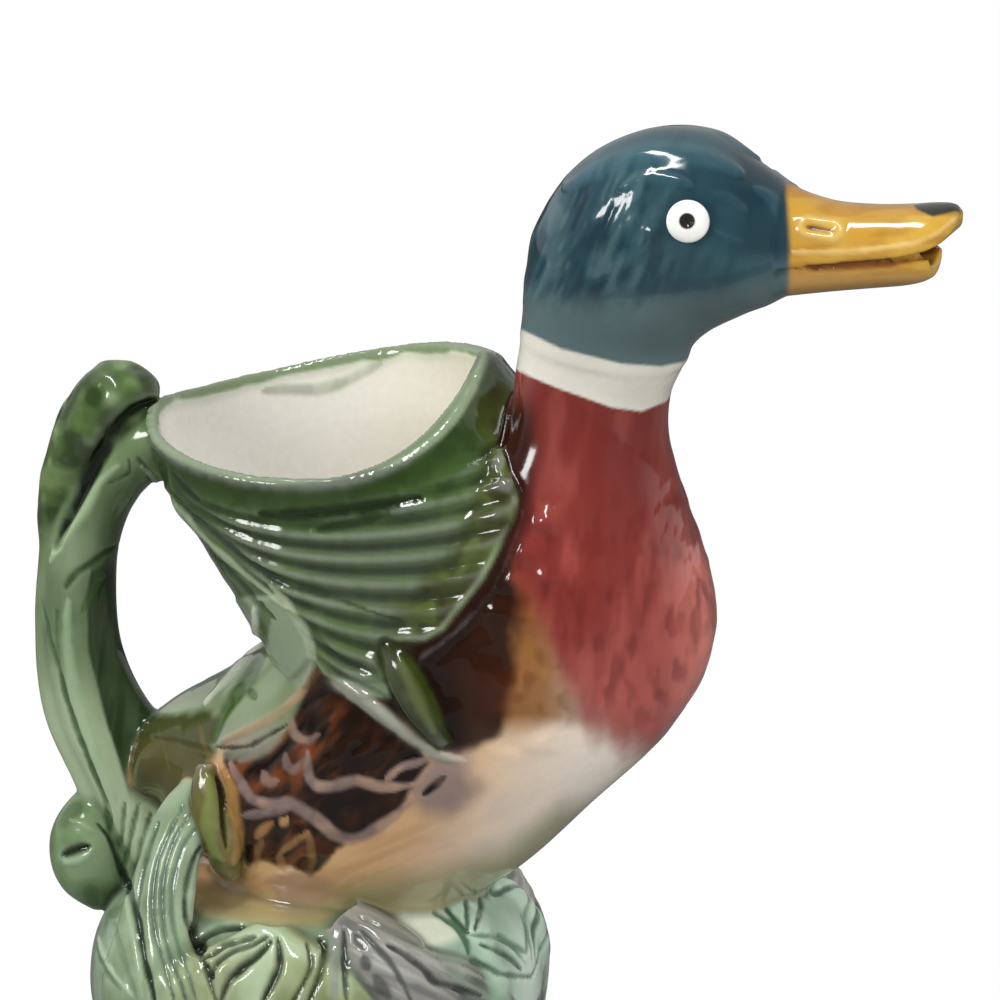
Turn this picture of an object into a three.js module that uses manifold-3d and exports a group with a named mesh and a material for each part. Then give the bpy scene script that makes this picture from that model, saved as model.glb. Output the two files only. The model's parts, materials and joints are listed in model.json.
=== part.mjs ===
// A drake mallard pitcher in glazed earthenware: the duck sits on a leafy mound, a wrapped leaf on its back
// is the filler cup, a bundle of leaf stalks is the handle and the open bill pours.
// Millimetres, +Z up. The duck faces +X, Y = 0 is its plane of symmetry and Z = 0 is the table.
import * as THREE from 'three';
import { LoftGeometry } from 'three/addons/geometries/LoftGeometry.js';
import { mergeVertices } from 'three/addons/utils/BufferGeometryUtils.js';
import Module from 'manifold-3d';

const { degToRad } = THREE.MathUtils;
const wasm = await Module();
wasm.setup();

// Driving dimensions
const wall = 4.5;
const lute = 0.3;
const channelHalfWidth = 5.5;
const channelHalfHeight = 4.5;
const eyeRadius = 6.4;
const eyeRise = 3.2;
const eyeRoot = 4;
const pupilRadius = 1.1;
const pupilDepth = 1.2;
const eyeSides = 16;
const eyeDome = [[1, 0.3], [0.86, 0.62], [0.55, 0.9]];
const moundCentreX = -56.5;
const moundHalfLength = 70.5;
const moundHalfWidth = 69;
const moundRearX = moundCentreX - moundHalfLength;
const footDepth = 3;
const footWidth = 10;
const drainHalfLength = 26;
const drainHalfWidth = 27;
const drainLowZ = 30;
const drainHighZ = 75;
const sprigSink = 3;
const leafEdge = 0.45;
const leafGroove = 0.25;
const billDome = 0.75;
const billRings = 9;
const billSides = 14;
const channelSides = 12;

// Where the head is luted to the neck, and the root of the bill
const collarStation = { backX: 7.3, backZ: 234, bellyX: 55, bellyZ: 227, half: 23.5 };
const napeHalf = 26;
const cheekSwell = 2.5;
const napeStation = { backX: 6.6, backZ: 250, bellyX: 59.5, bellyZ: 233.5, half: napeHalf };
const cheekHalf = napeHalf + cheekSwell;
const billRootX = 90;

// Stations of the duck from the tail to the nape: a point on its back, one on its belly, and half the width
const trunkStations = [
  { backX: -113, backZ: 96, bellyX: -110, bellyZ: 82, half: 8 },
  { backX: -101, backZ: 107, bellyX: -91, bellyZ: 63, half: 27 },
  { backX: -83, backZ: 119, bellyX: -62, bellyZ: 46, half: 42 },
  { backX: -63, backZ: 135, bellyX: -30, bellyZ: 45, half: 49 },
  { backX: -45, backZ: 153, bellyX: 3, bellyZ: 62, half: 52 },
  { backX: -28, backZ: 171, bellyX: 30, bellyZ: 87.5, half: 51 },
  { backX: -13, backZ: 187, bellyX: 52, bellyZ: 110, half: 47 },
  { backX: -2, backZ: 199, bellyX: 64, bellyZ: 133, half: 41.5 },
  { backX: 4, backZ: 207, bellyX: 65.5, bellyZ: 153, half: 35.5 },
  { backX: 6, backZ: 214, bellyX: 60, bellyZ: 176, half: 29.5 },
  { backX: 6, backZ: 221, bellyX: 53.5, bellyZ: 198, half: 25.5 },
  { backX: 6.3, backZ: 228, bellyX: 52.5, bellyZ: 214, half: 23.7 },
  collarStation,
  napeStation,
];
const neckJoint = 8 / 13;
const collarTop = 12 / 13;
const trunkFullness = 0.9;
const trunkHollowSpan = { from: 0.08, to: 1, rings: 10, sides: 14 };
const bodySpan = { from: 0, to: neckJoint, rings: 12, sides: 26 };
const neckSpan = { from: neckJoint, to: collarTop, rings: 5, sides: 26 };

// Stations of the head from the collar to the root of the bill
const headStations = [
  collarStation,
  napeStation,
  { backX: 12, backZ: 269.5, bellyX: 64.5, bellyZ: 238, half: cheekHalf },
  { backX: 26.5, backZ: 287, bellyX: 69.5, bellyZ: 241, half: cheekHalf },
  { backX: 45, backZ: 297.5, bellyX: 74, bellyZ: 243.5, half: cheekHalf },
  { backX: 63, backZ: 299, bellyX: 79, bellyZ: 246, half: 27 },
  { backX: 78, backZ: 292, bellyX: 84.5, bellyZ: 248, half: 23 },
  { backX: billRootX, backZ: 284.5, bellyX: billRootX, bellyZ: 250, half: 17 },
];
const headFullness = 1;
const headSpan = { from: 0, to: 1, rings: 11, sides: 26 };
const headHollowSpan = { from: 0.1, to: 0.93, rings: 6, sides: 14 };
const eyeStation = 5 / 7;
const eyeAngle = degToRad(15);

// Stations of the bill from its root to its tip: distance forward, upper and lower edge, and half the width
const upperBillStations = [
  { x: billRootX, top: 284, edge: 262, half: 15.5 },
  { x: 96, top: 280.5, edge: 262.8, half: 15 },
  { x: 105, top: 278.6, edge: 264, half: 14.5 },
  { x: 117, top: 278, edge: 265.8, half: 14.5 },
  { x: 128, top: 279.2, edge: 268.3, half: 14.5 },
  { x: 136.5, top: 281.4, edge: 270.5, half: 12.8 },
  { x: 142.3, top: 282.2, edge: 274, half: 9 },
  { x: 145.1, top: 280.6, edge: 278.4, half: 3 },
];
const lowerBillStations = [
  { x: billRootX, top: 261.3, edge: 250.4, half: 14 },
  { x: 105, top: 263.2, edge: 253.2, half: 13.2 },
  { x: 117, top: 264.7, edge: 255.2, half: 13 },
  { x: 128, top: 266.2, edge: 257, half: 12.8 },
  { x: 136, top: 267, edge: 259, half: 11 },
  { x: 139.5, top: 267, edge: 261, half: 8 },
];

// The pouring channel's centre line, distance forward and height
const channelRoute = [
  { x: 82, z: 262.5 },
  { x: 105, z: 264 },
  { x: 128, z: 266 },
  { x: 150, z: 268.5 },
];

// Levels of the leaf cup from inside the duck's back to above the rim: rear and front reach,
// how far forward the hollow goes, half the width, and how square the oval is (1 is an ellipse)
const cupLevels = [
  { z: 116, rear: -58, front: -4, inner: -16, half: 44, full: 0.78 },
  { z: 138, rear: -70, front: 12, inner: -10, half: 47.5, full: 0.78 },
  { z: 160, rear: -86, front: 20, inner: -7, half: 49.5, full: 0.8 },
  { z: 182, rear: -103, front: 21, inner: -6, half: 50, full: 0.86 },
  { z: 204, rear: -110, front: 12, inner: -6, half: 50, full: 0.96 },
  { z: 226, rear: -116, front: -1, inner: -6, half: 50, full: 1.04 },
];
const cupRows = 12;
const cupSides = 26;
const cupRibRootZ = 190;
const cupTurn = 46;
const cupRibRoot = 6;
const hollowAboveRim = 1.15;
const rimMeanZ = 213;
const rimRise = 13;
const rimFarDip = 8;
const rimNearDip = 14.5;
const rimNearFall = 7;
const ribHeight = 1;
const ribCount = 22;

// The mound's profile from the table up: its share of the half length and width, and its height
const moundProfile = [
  { share: 0.84, z: 0 },
  { share: 0.93, z: 6 },
  { share: 0.985, z: 15 },
  { share: 1, z: 26 },
  { share: 0.97, z: 38 },
  { share: 0.88, z: 48 },
  { share: 0.72, z: 55 },
  { share: 0.5, z: 58 },
];

const moundRings = 7;
const moundSides = 28;
const hollowRings = 5;
const hollowSides = 20;

// Each stalk of the handle as centre points with a radius, from the mound upwards
const outerStalkFoot = { behindRear: -13, z: 50, r: 8 };
const outerStalk = [
  { x: moundRearX - outerStalkFoot.behindRear, y: 0, z: outerStalkFoot.z, r: outerStalkFoot.r },
  { x: -127, y: 0, z: 76, r: 8 },
  { x: -136, y: 0, z: 102, r: 8 },
  { x: -138, y: 0, z: 128, r: 7 },
  { x: -137.5, y: 0, z: 148, r: 6.5 },
  { x: -137, y: 0, z: 160, r: 6 },
];
const middleStalk = [
  { x: -104, y: -1, z: 58, r: 11 },
  { x: -117, y: -2, z: 80, r: 10.5 },
  { x: -128, y: -3, z: 101, r: 10 },
  { x: -132.5, y: -3, z: 125, r: 10 },
  { x: -132, y: -2, z: 148, r: 10 },
  { x: -125, y: 0, z: 168, r: 10 },
  { x: -112, y: 0, z: 182, r: 9.5 },
  { x: -96, y: 0, z: 188, r: 9 },
];
const innerStalk = [
  { x: -107, y: 0, z: 90, r: 7 },
  { x: -119, y: 0, z: 102, r: 7.5 },
  { x: -127, y: 0, z: 120, r: 7 },
  { x: -128.5, y: 0, z: 142, r: 7 },
  { x: -123.5, y: 0, z: 160, r: 7 },
  { x: -111, y: 0, z: 174, r: 7.5 },
  { x: -97, y: 0, z: 180, r: 8 },
];
const budAxis = [
  { x: -139, y: 0, z: 161, r: 5 },
  { x: -136.5, y: 0, z: 172.5, r: 9 },
  { x: -131.5, y: 0, z: 186, r: 12 },
  { x: -125.5, y: 0, z: 198, r: 13 },
  { x: -120.5, y: 0, z: 207, r: 10 },
  { x: -118, y: 0, z: 211.5, r: 4 },
];

const plainStalk = { rings: 9, sides: 10 };
const twistedStalk = { depth: 1.15, lobes: 4, groove: 0.14, twist: 5, rings: 12, sides: 12 };
const budStalk = { rings: 8, sides: 14 };

const tailBlade = { depth: 2.4, lobes: 8, groove: 0.3, rings: 6, sides: 24 };
const tailAxis = [
  { x: -82, y: 0, z: 106, r: 6 },
  { x: -94, y: 0, z: 99, r: 9 },
  { x: -104, y: 0, z: 91, r: 9 },
  { x: -111, y: 0, z: 82, r: 6 },
];
const rearBudStalk = { lobes: 6, rings: 7, sides: 18 };
const rearBud = [
  { behindRear: -3, z: 40, r: 5 },
  { behindRear: -0.5, z: 49, r: 13 },
  { behindRear: 1, z: 60, r: 14.5 },
  { behindRear: 0, z: 71, r: 10 },
  { behindRear: -1, z: 78, r: 3.5 },
];
const rearBudAxis = rearBud.map(({ behindRear, z, r }) => ({ x: moundRearX - behindRear, y: 0, z, r }));

// Sprigs on the duck's right flank: station along the trunk, angle round it as a share of pi, and a radius
// for those that are stalks
const drape = { rise: 3.2, ribs: 4, rows: 7, columns: 9 };
const lobe = { rise: 4.5, ribs: 3, rows: 6, columns: 7 };
const wing = { rise: 2.8, ribs: 3, rows: 8, columns: 7 };
const drapeUpper = [[0.6, 0.7], [0.48, 0.66], [0.38, 0.64], [0.29, 0.68]];
const drapeLower = [[0.58, 0.87], [0.47, 0.92], [0.36, 0.9], [0.28, 0.76]];
const lobeUpper = [[0.29, 0.56], [0.2, 0.53], [0.11, 0.55]];
const lobeLower = [[0.28, 0.76], [0.21, 0.87], [0.12, 0.8]];
const wingUpper = [[0.15, 0.86], [0.22, 0.86], [0.29, 0.84], [0.34, 0.97], [0.37, 1.1]];
const wingLower = [[0.15, 1], [0.2, 1.14], [0.26, 1.17], [0.32, 1.15], [0.365, 1.13]];
const stemRoute = [
  { t: 0.265, turn: 0.72, r: 3 },
  { t: 0.29, turn: 0.79, r: 3 },
  { t: 0.325, turn: 0.91, r: 2.6 },
  { t: 0.35, turn: 1.03, r: 2.4 },
  { t: 0.372, turn: 1.11, r: 1.6 },
];
const podRoute = [
  { t: 0.36, turn: 0.83, r: 2 },
  { t: 0.362, turn: 0.9, r: 5 },
  { t: 0.362, turn: 0.97, r: 5 },
  { t: 0.362, turn: 1.04, r: 2 },
];
const stemStalk = { rings: 9, sides: 8 };
const podStalk = { rings: 6, sides: 10 };
const curlStalk = { rings: 7, sides: 7 };
const stemProud = 0.6;
const podProud = 1.5;
const curlProud = 2;
const curlRoute = [
  { t: 0.145, turn: 0.86, r: 2.5 },
  { t: 0.14, turn: 0.95, r: 5 },
  { t: 0.148, turn: 1.05, r: 5.5 },
  { t: 0.14, turn: 1.14, r: 5 },
  { t: 0.145, turn: 1.2, r: 2.5 },
];

// Leaves and logs round the mound: height along its profile, degrees from straight ahead, and a radius
const plumeBlade = { depth: 2.2, lobes: 8, groove: 0.25, rings: 7, sides: 16 };
const plumeTurn = 18;
const plumeAxis = [
  { x: -80, y: 40, z: 92, r: 3 },
  { x: -84, y: 46, z: 76, r: 6 },
  { x: -88, y: 54, z: 54, r: 7 },
  { x: -91, y: 62, z: 32, r: 7 },
  { x: -90, y: 60, z: 10, r: 5 },
];
const fanStalk = { rings: 4, sides: 6 };
const fanCentre = 86;
const fanLobes = [-26, -13, 0, 13, 26];
const fanRoute = [
  { s: 0.78, spread: 0.1, r: 4 },
  { s: 0.66, spread: 0.5, r: 6 },
  { s: 0.5, spread: 0.9, r: 6.5 },
  { s: 0.34, spread: 1, r: 4 },
];
const logRoute = [
  { s: 0.82, degrees: 62, r: 9 },
  { s: 0.64, degrees: 50, r: 13 },
  { s: 0.44, degrees: 40, r: 13 },
  { s: 0.25, degrees: 31, r: 9 },
];
const logStalk = { lobes: 5, groove: 0.2, rings: 5, sides: 10 };
const logSunk = -4;
const frontSunk = -4.5;
const frontBlade = { depth: 2.2, lobes: 8, groove: 0.25, rings: 5, sides: 16 };
const frontTurn = 66;
const frontRoute = [
  { s: 0.93, degrees: 13, r: 3 },
  { s: 0.78, degrees: 15, r: 5 },
  { s: 0.56, degrees: 16, r: 5.5 },
  { s: 0.3, degrees: 14, r: 4 },
];

// Glazes
const glaze = (color) => new THREE.MeshStandardMaterial({ color, roughness: 0.12, metalness: 0 });
const tealGlaze = glaze(0x35616b);
const redGlaze = glaze(0x96413e);
const tanGlaze = glaze(0xbe9673);
const brownGlaze = glaze(0x4a2a18);
const ochreGlaze = glaze(0xd7a546);
const whiteGlaze = glaze(0xeee6dc);
const paleGreenGlaze = glaze(0x96af91);
const darkGreenGlaze = glaze(0x4a6a3a);
const mintGlaze = glaze(0x96c39b);
const greyGlaze = glaze(0x78786f);

// Solids and meshes
function solidOf(geometry) {
  const bare = new THREE.BufferGeometry();
  bare.setAttribute('position', geometry.getAttribute('position'));
  bare.setIndex(geometry.getIndex());
  const merged = mergeVertices(bare, 1e-4);
  const vertProperties = new Float32Array(merged.getAttribute('position').array);
  const triVerts = new Uint32Array(merged.getIndex().array);
  return new wasm.Manifold(new wasm.Mesh({ numProp: 3, vertProperties, triVerts }));
}

function meshOf(name, solid, material) {
  const { vertProperties, triVerts } = solid.getMesh();
  const geometry = new THREE.BufferGeometry();
  geometry.setAttribute('position', new THREE.BufferAttribute(vertProperties, 3));
  geometry.setIndex(new THREE.BufferAttribute(triVerts, 1));
  geometry.computeVertexNormals();
  const mesh = new THREE.Mesh(geometry, material);
  mesh.name = name;
  return mesh;
}

const carafe = new THREE.Group();
const assembled = [];

// Lutes a piece on: form(grow) is its outer form, and each piece already there cuts its seat with a slip joint
function luteOn(name, form, material, hollows = []) {
  let solid = form(0);
  for (const seat of assembled) solid = solid.subtract(seat);
  for (const hollow of hollows) solid = solid.subtract(hollow);
  assembled.push(form(lute));
  carafe.add(meshOf(name, largest(solid), material));
}

// A cut can leave a sliver beyond a neighbour: the piece itself is the largest body
function largest(solid) {
  const bodies = solid.decompose();
  return bodies.reduce((best, body) => (body.volume() > best.volume() ? body : best));
}

const spline = (values) => {
  const curve = new THREE.SplineCurve(values.map((value, i) => new THREE.Vector2(i, value)));
  return (t) => curve.getPoint(t).y;
};
const steps = (count) => Array.from({ length: count + 1 }, (_, i) => i / count);
const around = (count) => Array.from({ length: count }, (_, i) => (2 * Math.PI * i) / count);
const swell = (value, power) => Math.sign(value) * Math.abs(value) ** power;
const middleOf = (ring) => {
  const middle = new THREE.Vector3();
  ring.forEach((point) => middle.add(point));
  return middle.divideScalar(ring.length);
};

const ringNormal = (ring) => {
  const normal = new THREE.Vector3();
  ring.forEach((point, i) => normal.add(point.clone().cross(ring[(i + 1) % ring.length])));
  return normal;
};

// A closed loft whose rings all run anticlockwise seen from its end, and whose end rings also move out by grow
function loft(rings, grow = 0) {
  const push = (ring, next) => {
    const shift = middleOf(ring).sub(middleOf(next)).setLength(grow);
    ring.forEach((point) => point.add(shift));
  };
  const ahead = middleOf(rings[1]).sub(middleOf(rings[0]));
  if (ringNormal(rings[0]).dot(ahead) < 0) rings.forEach((ring) => ring.reverse());
  if (grow > 0) {
    push(rings[0], rings[1]);
    push(rings.at(-1), rings.at(-2));
  }
  return solidOf(new LoftGeometry(rings, { capStart: true, capEnd: true }));
}

// The duck: oval sections between its back line and its belly line
function duckSurface(stations, fullness) {
  const along = (key) => spline(stations.map((station) => station[key]));
  const backX = along('backX');
  const backZ = along('backZ');
  const bellyX = along('bellyX');
  const bellyZ = along('bellyZ');
  const half = along('half');
  return (t, angle, grow = 0) => {
    const back = new THREE.Vector3(backX(t), 0, backZ(t));
    const belly = new THREE.Vector3(bellyX(t), 0, bellyZ(t));
    const up = back.clone().sub(belly).multiplyScalar(0.5);
    const reach = (up.length() + grow) / up.length();
    const point = back.add(belly).multiplyScalar(0.5);
    point.addScaledVector(up, reach * swell(Math.sin(angle), fullness));
    point.y = (half(t) + grow) * swell(Math.cos(angle), fullness);
    return point;
  };
}

function duckForm(surface, { from, to, rings, sides }) {
  const ringAt = (f, grow) => around(sides).map((angle) => surface(from + (to - from) * f, angle, grow));
  return (grow) => loft(steps(rings).map((f) => ringAt(f, grow)), grow);
}

const trunk = duckSurface(trunkStations, trunkFullness);
const head = duckSurface(headStations, headFullness);
const trunkHollow = duckForm(trunk, trunkHollowSpan)(-wall);
const headHollow = duckForm(head, headHollowSpan)(-wall);

// The leaf cup: level ovals with a rim that climbs to the neck and dips at the sides, more on the right
const cupLevel = (key) => {
  const value = spline(cupLevels.map((level) => level[key]));
  const low = cupLevels[0].z;
  const high = cupLevels.at(-1).z;
  return (z) => value((z - low) / (high - low));
};
const cupRear = cupLevel('rear');
const cupFront = cupLevel('front');
const cupInner = cupLevel('inner');
const cupHalf = cupLevel('half');
const cupFull = cupLevel('full');
const cupFootZ = cupLevels[0].z;

function rimHeight(angle) {
  const ahead = Math.cos(angle);
  const near = (1 - Math.sin(angle)) / 2;
  const dip = rimFarDip + near * (rimNearDip + rimNearFall * ahead);
  return rimMeanZ + rimRise * ahead - dip * Math.abs(Math.sin(angle));
}

// Leaf ribs fan out from the handle's junction at the rear of the rim
function cupRib(angle, z) {
  const fromRear = Math.PI - Math.abs(angle > Math.PI ? angle - 2 * Math.PI : angle);
  const slope = Math.atan2(z - cupRibRootZ, cupTurn * fromRear + cupRibRoot);
  return ribHeight * (0.5 + 0.5 * Math.cos(slope * ribCount)) * Math.min(1, fromRear);
}

function cupOval(angle, z, rear, front, half) {
  const x = (front + rear) / 2 + ((front - rear) / 2) * swell(Math.cos(angle), cupFull(z));
  return new THREE.Vector3(x, half * swell(Math.sin(angle), cupFull(z)), z);
}

const cupRings = (rows, top, point) => steps(rows).map((f) => around(cupSides).map((angle) => {
  const z = cupFootZ + (rimHeight(angle) - cupFootZ) * f * top;
  return point(angle, z);
}));
const cupInside = (angle, z) => cupOval(angle, z, cupRear(z) + wall, cupInner(z), cupHalf(z) - wall);
const cupHollow = loft(cupRings(cupRows / 2, hollowAboveRim, cupInside));
const cupForm = (grow) => loft(cupRings(cupRows, 1, (angle, z) => {
  const out = grow + cupRib(angle, z);
  return cupOval(angle, z, cupRear(z) - out, cupFront(z) + out, cupHalf(z) + out);
}), grow);

// A leaf that lies on a surface between two edges, ribbed along its length and sunk into its seat
function leafOn(surface, upper, lower, { rise, ribs, rows, columns }) {
  const edge = (points) => [spline(points.map((p) => p[0])), spline(points.map((p) => p[1] * Math.PI))];
  const [upperT, upperAngle] = edge(upper);
  const [lowerT, lowerAngle] = edge(lower);
  const at = (u, v, offset) => surface(
    upperT(u) + (lowerT(u) - upperT(u)) * v,
    upperAngle(u) + (lowerAngle(u) - upperAngle(u)) * v,
    offset,
  );
  const arch = (v) => leafEdge + (1 - leafEdge) * Math.sin(Math.PI * v);
  const height = (v) => rise * arch(v) * (1 - leafGroove * ribWave(v, ribs));
  return (grow) => loft(steps(rows).map((u) => {
    const widen = grow / at(u, 0, 0).distanceTo(at(u, 1, 0));
    const across = (v) => v + (2 * v - 1) * widen;
    const top = steps(columns).map((v) => at(u, across(v), height(v) + grow));
    const under = steps(columns).reverse().map((v) => at(u, across(v), -sprigSink));
    return [...top, ...under];
  }), grow);
}
const ribWave = (v, ribs) => 0.5 - 0.5 * Math.cos(2 * Math.PI * ribs * v);
const mirrored = (edge) => edge.map(([t, angle]) => [t, 1 - angle]);

// A stalk, bud or blade: rings along a curve, flattened by depth across `side`, with grooves that may twist
function stalk(stations, { rings, sides, side = [0, 1, 0], depth = 1, lobes = 0, groove = 0.1, twist = 0 }) {
  const curve = new THREE.CatmullRomCurve3(stations.map(({ x, y, z }) => new THREE.Vector3(x, y, z)));
  const radius = spline(stations.map((station) => station.r));
  const across = new THREE.Vector3(...side);
  return (grow) => loft(steps(rings).map((t) => {
    const centre = curve.getPoint(t);
    const tangent = curve.getTangent(t);
    const e1 = across.clone().addScaledVector(tangent, -across.dot(tangent)).normalize();
    const e2 = tangent.clone().cross(e1);
    return around(sides).map((angle) => {
      const r = radius(t) * (1 - groove * (lobes ? 0.5 - 0.5 * Math.cos(lobes * angle + twist * t) : 0));
      return centre.clone()
        .addScaledVector(e1, (r * depth + grow) * Math.cos(angle))
        .addScaledVector(e2, (r + grow) * Math.sin(angle));
    });
  }), grow);
}

// The mound: level ovals up its profile
const moundRadius = spline(moundProfile.map((point) => point.share));
const moundHeight = spline(moundProfile.map((point) => point.z));
function mound(s, angle, grow = 0) {
  return new THREE.Vector3(
    moundCentreX + (moundHalfLength * moundRadius(s) + grow) * Math.cos(angle),
    (moundHalfWidth * moundRadius(s) + grow) * Math.sin(angle),
    moundHeight(s),
  );
}
const moundRing = (s, grow) => around(moundSides).map((angle) => mound(s, angle, grow));
const moundForm = (grow) => loft(steps(moundRings).map((s) => moundRing(s, grow)), grow);
const oval = (halfLength, halfWidth, z) => around(hollowSides).map((angle) =>
  new THREE.Vector3(moundCentreX + halfLength * Math.cos(angle), halfWidth * Math.sin(angle), z));
const column = (halfLength, halfWidth, low, high) => {
  const ends = [low, high].map((z) => oval(halfLength, halfWidth, z));
  return loft(ends);
};
const moundTop = moundHeight(1);
const moundFloor = footDepth + wall;
const moundHollow = loft(steps(hollowRings).map((s) => around(hollowSides).map((angle) => {
  const point = mound(s, angle, -wall);
  point.z = moundFloor + (point.z * (moundTop - wall - moundFloor)) / moundTop;
  return point;
})));
const footShare = moundProfile[0].share;
const recessLength = moundHalfLength * footShare - footWidth;
const recessWidth = moundHalfWidth * footShare - footWidth;
const footRecess = column(recessLength, recessWidth, -footDepth, footDepth);
const drain = column(drainHalfLength, drainHalfWidth, drainLowZ, drainHighZ);

// The bill: a domed upper half and a troughed lower half, with the pouring channel between them
function billForm(stations, dome) {
  const along = (key) => spline(stations.map((station) => station[key]));
  const x = along('x');
  const top = along('top');
  const edge = along('edge');
  const half = along('half');
  return (grow) => loft(steps(billRings).map((t) => steps(billSides).map((v) => {
    const angle = Math.PI * v;
    const height = top(t) - edge(t) + grow;
    const y = (half(t) + grow) * Math.cos(angle);
    const rise = height * swell(Math.sin(angle), billDome);
    return new THREE.Vector3(x(t), dome > 0 ? y : -y, dome > 0 ? edge(t) + rise : top(t) - rise);
  })), grow);
}
const channel = loft(channelRoute.map(({ x, z }) => around(channelSides).map((angle) =>
  new THREE.Vector3(x, channelHalfWidth * Math.cos(angle), z + channelHalfHeight * Math.sin(angle)))));

// A small step for reading a surface's slope
const nudge = 0.02;

// An eye pellet with a pricked pupil, pressed onto the side of the head
function eyeForm(angle) {
  const place = head(eyeStation, angle);
  const ahead = head(eyeStation + nudge, angle).sub(place);
  const above = head(eyeStation, angle + nudge).sub(place);
  const outward = ahead.cross(above).normalize();
  if (outward.y * place.y < 0) outward.negate();
  return (grow) => {
    const r = eyeRadius + grow;
    const back = [[0, -eyeRoot], [r, -eyeRoot]];
    const dome = eyeDome.map(([share, rise]) => [share * r, rise * eyeRise]);
    const floor = eyeRise - pupilDepth;
    const pupil = [[pupilRadius, eyeRise], [pupilRadius, floor], [0, floor]];
    const profile = [...back, ...dome, ...pupil].map(([x, y]) => new THREE.Vector2(x, y));
    const pellet = new THREE.LatheGeometry(profile, eyeSides);
    pellet.applyQuaternion(new THREE.Quaternion().setFromUnitVectors(new THREE.Vector3(0, 1, 0), outward));
    pellet.translate(place.x, place.y, place.z);
    return solidOf(pellet);
  };
}

// Assembly, each piece luted on to those before it
luteOn('body_shell', duckForm(trunk, bodySpan), tanGlaze, [trunkHollow, cupHollow, drain]);
luteOn('neck_shell', duckForm(trunk, neckSpan), redGlaze, [trunkHollow]);
luteOn('head_shell', duckForm(head, headSpan), tealGlaze, [headHollow, trunkHollow, channel]);
luteOn('upper_bill', billForm(upperBillStations, 1), ochreGlaze, [channel]);
luteOn('lower_bill', billForm(lowerBillStations, -1), ochreGlaze, [channel]);
luteOn('eye_right', eyeForm(Math.PI - eyeAngle), whiteGlaze);
luteOn('eye_left', eyeForm(eyeAngle), whiteGlaze);
luteOn('base_mound', moundForm, mintGlaze, [footRecess, moundHollow]);
luteOn('tail', stalk(tailAxis, tailBlade), brownGlaze);

const drapeRight = leafOn(trunk, drapeUpper, drapeLower, drape);
const drapeLeft = leafOn(trunk, mirrored(drapeUpper), mirrored(drapeLower), drape);
const cupAndDrapes = (grow) => cupForm(grow).add(drapeRight(grow)).add(drapeLeft(grow));
luteOn('leaf_cup', cupAndDrapes, paleGreenGlaze, [cupHollow]);

luteOn('handle_outer_stalk', stalk(outerStalk, plainStalk), paleGreenGlaze);
luteOn('handle_bud', stalk(budAxis, budStalk), darkGreenGlaze);
luteOn('handle_middle_stalk', stalk(middleStalk, twistedStalk), paleGreenGlaze);
luteOn('handle_inner_stalk', stalk(innerStalk, plainStalk), darkGreenGlaze);
luteOn('rear_bud', stalk(rearBudAxis, rearBudStalk), darkGreenGlaze);

// Both flanks: the right one is at -Y, and the left one mirrors it
for (const [name, hand] of [['right', -1], ['left', 1]]) {
  const edge = (points) => (hand < 0 ? points : mirrored(points));
  const turned = (degrees) => [Math.cos(degToRad(degrees)), hand * Math.sin(degToRad(degrees)), 0];
  const onTrunk = (proud) => ({ t, turn, r }) => {
    const { x, y, z } = trunk(t, Math.PI * (hand < 0 ? turn : 1 - turn), proud);
    return { x, y, z, r };
  };
  const onMound = (proud) => ({ s, degrees, r }) => {
    const { x, y, z } = mound(s, hand * degToRad(degrees), proud);
    return { x, y, z, r };
  };

  luteOn(`leaf_lobe_${name}`, leafOn(trunk, edge(lobeUpper), edge(lobeLower), lobe), paleGreenGlaze);
  luteOn(`wing_${name}`, leafOn(trunk, edge(wingUpper), edge(wingLower), wing), brownGlaze);

  luteOn(`leaf_stem_${name}`, stalk(stemRoute.map(onTrunk(stemProud)), stemStalk), paleGreenGlaze);
  luteOn(`leaf_pod_${name}`, stalk(podRoute.map(onTrunk(podProud)), podStalk), darkGreenGlaze);
  luteOn(`leaf_curl_${name}`, stalk(curlRoute.map(onTrunk(curlProud)), curlStalk), darkGreenGlaze);

  const plume = plumeAxis.map((station) => ({ ...station, y: hand * station.y }));
  luteOn(`plume_leaf_${name}`, stalk(plume, { ...plumeBlade, side: turned(plumeTurn) }), mintGlaze);

  const fan = (grow) => fanLobes.map((degrees) => {
    const route = fanRoute.map(({ s, spread, r }) => ({ s, degrees: fanCentre + degrees * spread, r }));
    return stalk(route.map(onMound(0)), fanStalk)(grow);
  }).reduce((joined, one) => joined.add(one));
  luteOn(`fan_leaf_${name}`, fan, mintGlaze);

  luteOn(`log_${name}`, stalk(logRoute.map(onMound(logSunk)), logStalk), greyGlaze);
  const front = frontRoute.map(onMound(frontSunk));
  luteOn(`front_leaf_${name}`, stalk(front, { ...frontBlade, side: turned(frontTurn) }), mintGlaze);
}

export default carafe;
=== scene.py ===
# A drake mallard pitcher in glazed earthenware. The forms are drawn from the same stations as the solids, run
# together into one cast skin, pressed with feathers, ribs and veins, and painted with majolica glazes and
# some painted light and shade.
import json
import math

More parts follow.
